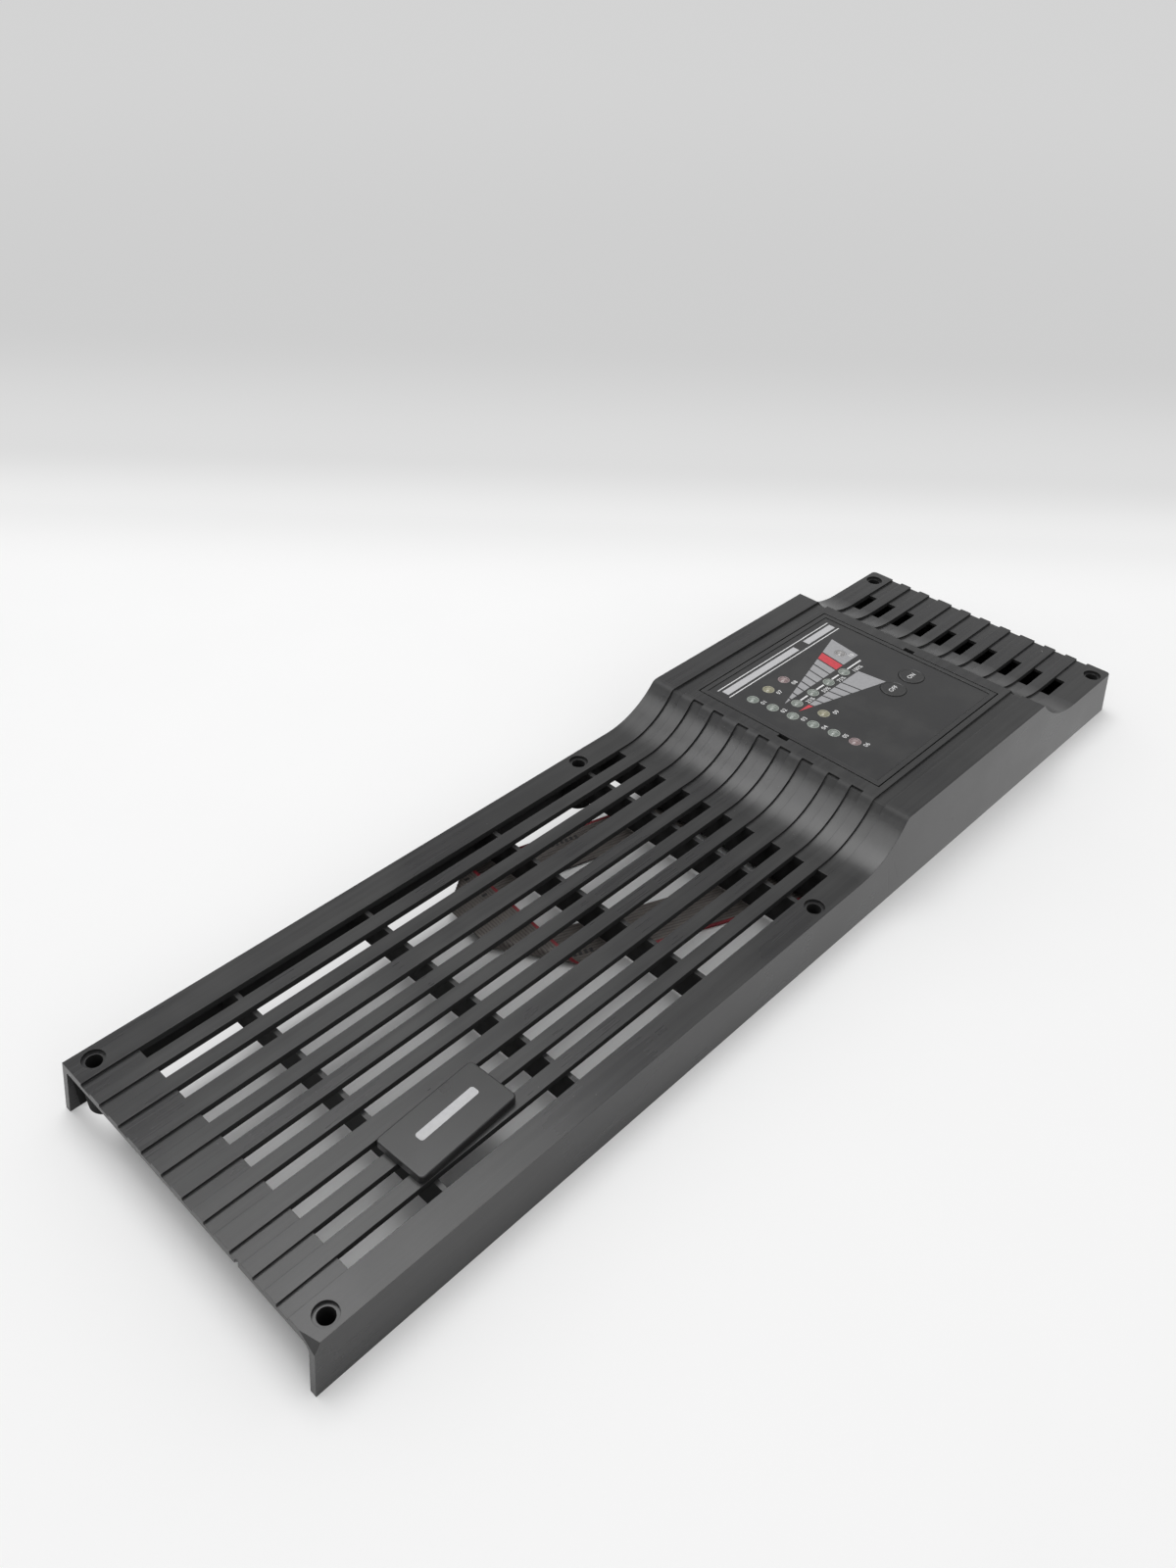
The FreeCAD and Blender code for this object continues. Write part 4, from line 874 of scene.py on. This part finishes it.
def makeRibbonVinyl(look):
    # grey wires with darker webs, a red first wire and groups of short dark marks along one side
    material, tree, shader = startMaterial("ribbonVinyl")
    lay = addNode(tree, "UVMap", {"uv_map": "lay"}).outputs[0]
    across, along = addNode(tree, "SeparateXYZ", Vector=lay).outputs[:2]
    place = addNode(tree, "TexCoord").outputs["Object"]
    wire = sums(tree, "PINGPONG", sums(tree, "MULTIPLY", across, float(ribbonLead["wires"])), 0.5)
    colour = blendColour(tree, span(tree, wire, *look["webEdge"]), (*look["web"], 1), (*look["wire"], 1))
    worn = span(tree, noiseOf(tree, place, 9.0, 3.0), 0.35, 0.7, 0.0, look["rubShare"])
    colour = blendColour(tree, worn, colour, (*look["rubbed"], 1))
    beat = sums(tree, "FRACT", sums(tree, "MULTIPLY", along, look["groups"]))
    cut = sums(tree, "FRACT", sums(tree, "MULTIPLY", along, look["cuts"]))
    mark = sums(tree, "MULTIPLY", sums(tree, "LESS_THAN", beat, look["groupShare"]),
                sums(tree, "GREATER_THAN", cut, look["cutGap"]))
    mark = sums(tree, "MULTIPLY", mark, sums(tree, "COMPARE", across, *look["across"]))
    colour = blendColour(tree, mark, colour, (*look["mark"], 1))
    first = sums(tree, "LESS_THAN", across, 1.0 / ribbonLead["wires"])
    colour = blendColour(tree, first, colour, (*look["stripe"], 1))
    rough = span(tree, noiseOf(tree, place, 0.8, 2.0), 0.3, 0.7, *look["rough"])
    joinShader(tree, shader, colour, rough, bumpOf(tree, noiseOf(tree, place, 0.5, 2.0), 0.15, 0.05))
    return material


dress(parts["lamp_board"], makeBoardMask(boardMask))
dress(parts["board_screws"], makeScrewSteel(screwSteel))
dress(ribbonPiece, makeRibbonVinyl(ribbonVinyl))
print("board and ribbon dressed")


# Floor and light

paleFloor = {
    "reach": 6.0,
    "near": 0.93,
    "speckle": 60.0,
    "speckleTone": 0.01,
    # share of the floor that shows without shadows: to the eye, and in a shine near and farther along the walls
    "shadowless": 0.2,
    "shine": (0.1, 1.0),
    # distance ahead of the camera over which the shadows end, and over which the shine grows
    "shadowAhead": (0.56, 0.66),
    "shineAhead": (0.2, 0.44),
    # soft edges of the floor under the bezel: at the long walls, at the far end, at the near end
    "softSide": 0.008,
    "softFar": 0.002,
    "softNear": 0.008,
    # in mm: painted light on the floor along the left wall, under the bezel, and painted shadow under the plateau
    # and the closed far end
    "paintedLeftLight": {"from": 36.0, "to": 58.0, "share": 0.8},
    "paintedFarShadow": {"from": 45.0, "to": 75.0, "tone": 0.01},
    # paler near the bezel, greyer beyond it: distance ahead of the camera and tone
    "fade": [(0.58, 0.93), (0.66, 0.85), (0.74, 0.72), (0.95, 0.62), (2.2, 0.655)],
    # away from the bezel on every side: where the shadows end, then where the tone of the backdrop comes in
    "shadowEnd": (0.34, 0.60),
    "backdrop": (0.75, 2.0, 0.655),
}


def makeFloor(look):
    r = look["reach"]
    mesh = bpy.data.meshes.new("paleFloor")
    mesh.from_pydata([(-r, -r, 0), (r, -r, 0), (r, r, 0), (-r, r, 0)], [], [(0, 1, 2, 3)])
    floor = bpy.data.objects.new("paleFloor", mesh)
    scene.collection.objects.link(floor)
    material, tree, shader = startMaterial("paleFloor")
    place = addNode(tree, "TexCoord").outputs["Object"]
    start = Vector(photoCamera["place"])
    ahead = Vector((photoCamera["ahead"][0], photoCamera["ahead"][1], 0)).normalized()
    step = vectors(tree, "DOT_PRODUCT", vectors(tree, "SUBTRACT", place, (start.x, start.y, 0)), ahead)
    (d0, t0), *others = look["fade"]
    tone = grey(t0)
    before = d0
    for distance, value in others:
        tone = blendColour(tree, span(tree, step, before, distance), tone, grey(value))
        before = distance
    reachOut = vectors(tree, "LENGTH", place)
    nearBack, farBack, backTone = look["backdrop"]
    tone = blendColour(tree, span(tree, reachOut, nearBack, farBack), tone, grey(backTone))
    speckle = noiseOf(tree, place, look["speckle"], 3.0)
    setSockets(shader, {"Specular IOR Level": 0.2})
    x, y = addNode(tree, "SeparateXYZ", Vector=place).outputs[:2]
    halfLong, halfWide = cadBox[1][0], cadBox[1][1]
    outside = span(tree, sums(tree, "ABSOLUTE", y), halfWide - look["softSide"], halfWide)
    for spot, soft in ((x, look["softFar"]), (sums(tree, "MULTIPLY", x, -1.0), look["softNear"])):
        outside = sums(tree, "MAXIMUM", outside, span(tree, spot, halfLong - soft, halfLong))
    under = sums(tree, "SUBTRACT", 1.0, outside)
    darker, paler = look["near"] - look["speckleTone"], look["near"] + look["speckleTone"]
    own = blendColour(tree, speckle, grey(darker), grey(paler))
    # painted shadow: under the plateau and the far end the floor's own colour turns near black
    dark = look["paintedFarShadow"]
    far = sums(tree, "MULTIPLY", under, span(tree, x, dark["from"] * mm, dark["to"] * mm))
    tree.links.new(blendColour(tree, far, own, grey(dark["tone"])), shader.inputs["Base Color"])
    tree.links.new(span(tree, speckle, 0.3, 0.7, 0.55, 0.65), shader.inputs["Roughness"])
    glow = addNode(tree, "Emission", Color=tone, Strength=1.0)
    path = addNode(tree, "LightPath")
    eye = sums(tree, "ADD", path.outputs["Is Camera Ray"], path.outputs["Is Transmission Ray"])
    clear = sums(tree, "MAXIMUM", span(tree, step, *look["shadowAhead"], look["shadowless"], 1.0),
                 span(tree, reachOut, *look["shadowEnd"], look["shadowless"], 1.0))
    straight = sums(tree, "MULTIPLY", eye, clear)
    shine = span(tree, step, *look["shineAhead"], *look["shine"])
    bright = sums(tree, "MULTIPLY", path.outputs["Is Glossy Ray"], shine)
    # the floor under the bezel keeps its own shade, apart from painted light along the left wall: a glow that
    # camera rays see there
    left = look["paintedLeftLight"]
    glint = sums(tree, "MULTIPLY", eye, span(tree, y, left["from"] * mm, left["to"] * mm, 0.0, left["share"]))
    inner = sums(tree, "MULTIPLY", glint, sums(tree, "SUBTRACT", under, far, clamp=True))
    share = sums(tree, "MULTIPLY_ADD", sums(tree, "MAXIMUM", straight, bright), outside, inner)
    mix = addNode(tree, "MixShader", i0=share, i1=shader.outputs[0], i2=glow.outputs[0])
    tree.links.new(mix.outputs[0], tree.nodes["Material Output"].inputs["Surface"])
    mesh.materials.append(material)


studioLight = {
    # tone of the room by height: pale walls, a darker belt above them, a paler ceiling
    "walls": 0.76,
    "belt": 0.48,
    "ceiling": 0.66,
    "beltFoot": (0.43, 0.57),
    "beltTop": (0.62, 0.80),
    # tone of the room where the camera sees it
    "seen": 0.655,
    "lamps": [
        {"name": "overhead", "place": (0.12, 0.37, 1.39), "aim": (0.0, 0.0, 0.0), "size": 0.85, "power": 8.1},
        # a card that shows in gloss alone, mostly on the ramp
        {"name": "leftCard", "place": (-0.566, 0.609, 1.194), "aim": (0.045, 0.0, 0.03), "size": 0.76,
         "power": 4.6, "card": True},
        {"name": "rightFill", "place": (-0.2, -1.3, 0.9), "aim": (0.05, 0.0, 0.0), "size": 1.2, "power": 1.5},
    ],
}


def makeLight(look):
    world = bpy.data.worlds.new("studioRoom")
    scene.world = world
    world.use_nodes = True
    tree = world.node_tree
    room = tree.nodes["Background"]
    setSockets(room, {"Color": grey(1.0)})
    height = addNode(tree, "SeparateXYZ", Vector=addNode(tree, "TexCoord").outputs["Generated"]).outputs[2]
    low = span(tree, height, *look["beltFoot"], look["walls"], look["belt"])
    high = span(tree, height, *look["beltTop"], 0.0, look["ceiling"] - look["belt"])
    tree.links.new(sums(tree, "ADD", low, high), room.inputs["Strength"])
    seen = addNode(tree, "Background", Color=grey(look["seen"]), Strength=1.0)
    path = addNode(tree, "LightPath")
    eye = sums(tree, "ADD", path.outputs["Is Camera Ray"], path.outputs["Is Transmission Ray"])
    mix = addNode(tree, "MixShader", i0=eye, i1=room.outputs[0], i2=seen.outputs[0])
    tree.links.new(mix.outputs[0], tree.nodes["World Output"].inputs["Surface"])
    for lamp in look["lamps"]:
        data = bpy.data.lights.new(lamp["name"], "AREA")
        data.shape = "DISK"
        data.size = lamp["size"]
        data.energy = lamp["power"]
        light = bpy.data.objects.new(lamp["name"], data)
        scene.collection.objects.link(light)
        light.visible_diffuse = not lamp.get("card", False)
        light.location = lamp["place"]
        toward = Vector(lamp["aim"]) - Vector(lamp["place"])
        light.rotation_euler = toward.to_track_quat("-Z", "Y").to_euler()


makeFloor(paleFloor)
makeLight(studioLight)
print("floor and light set")
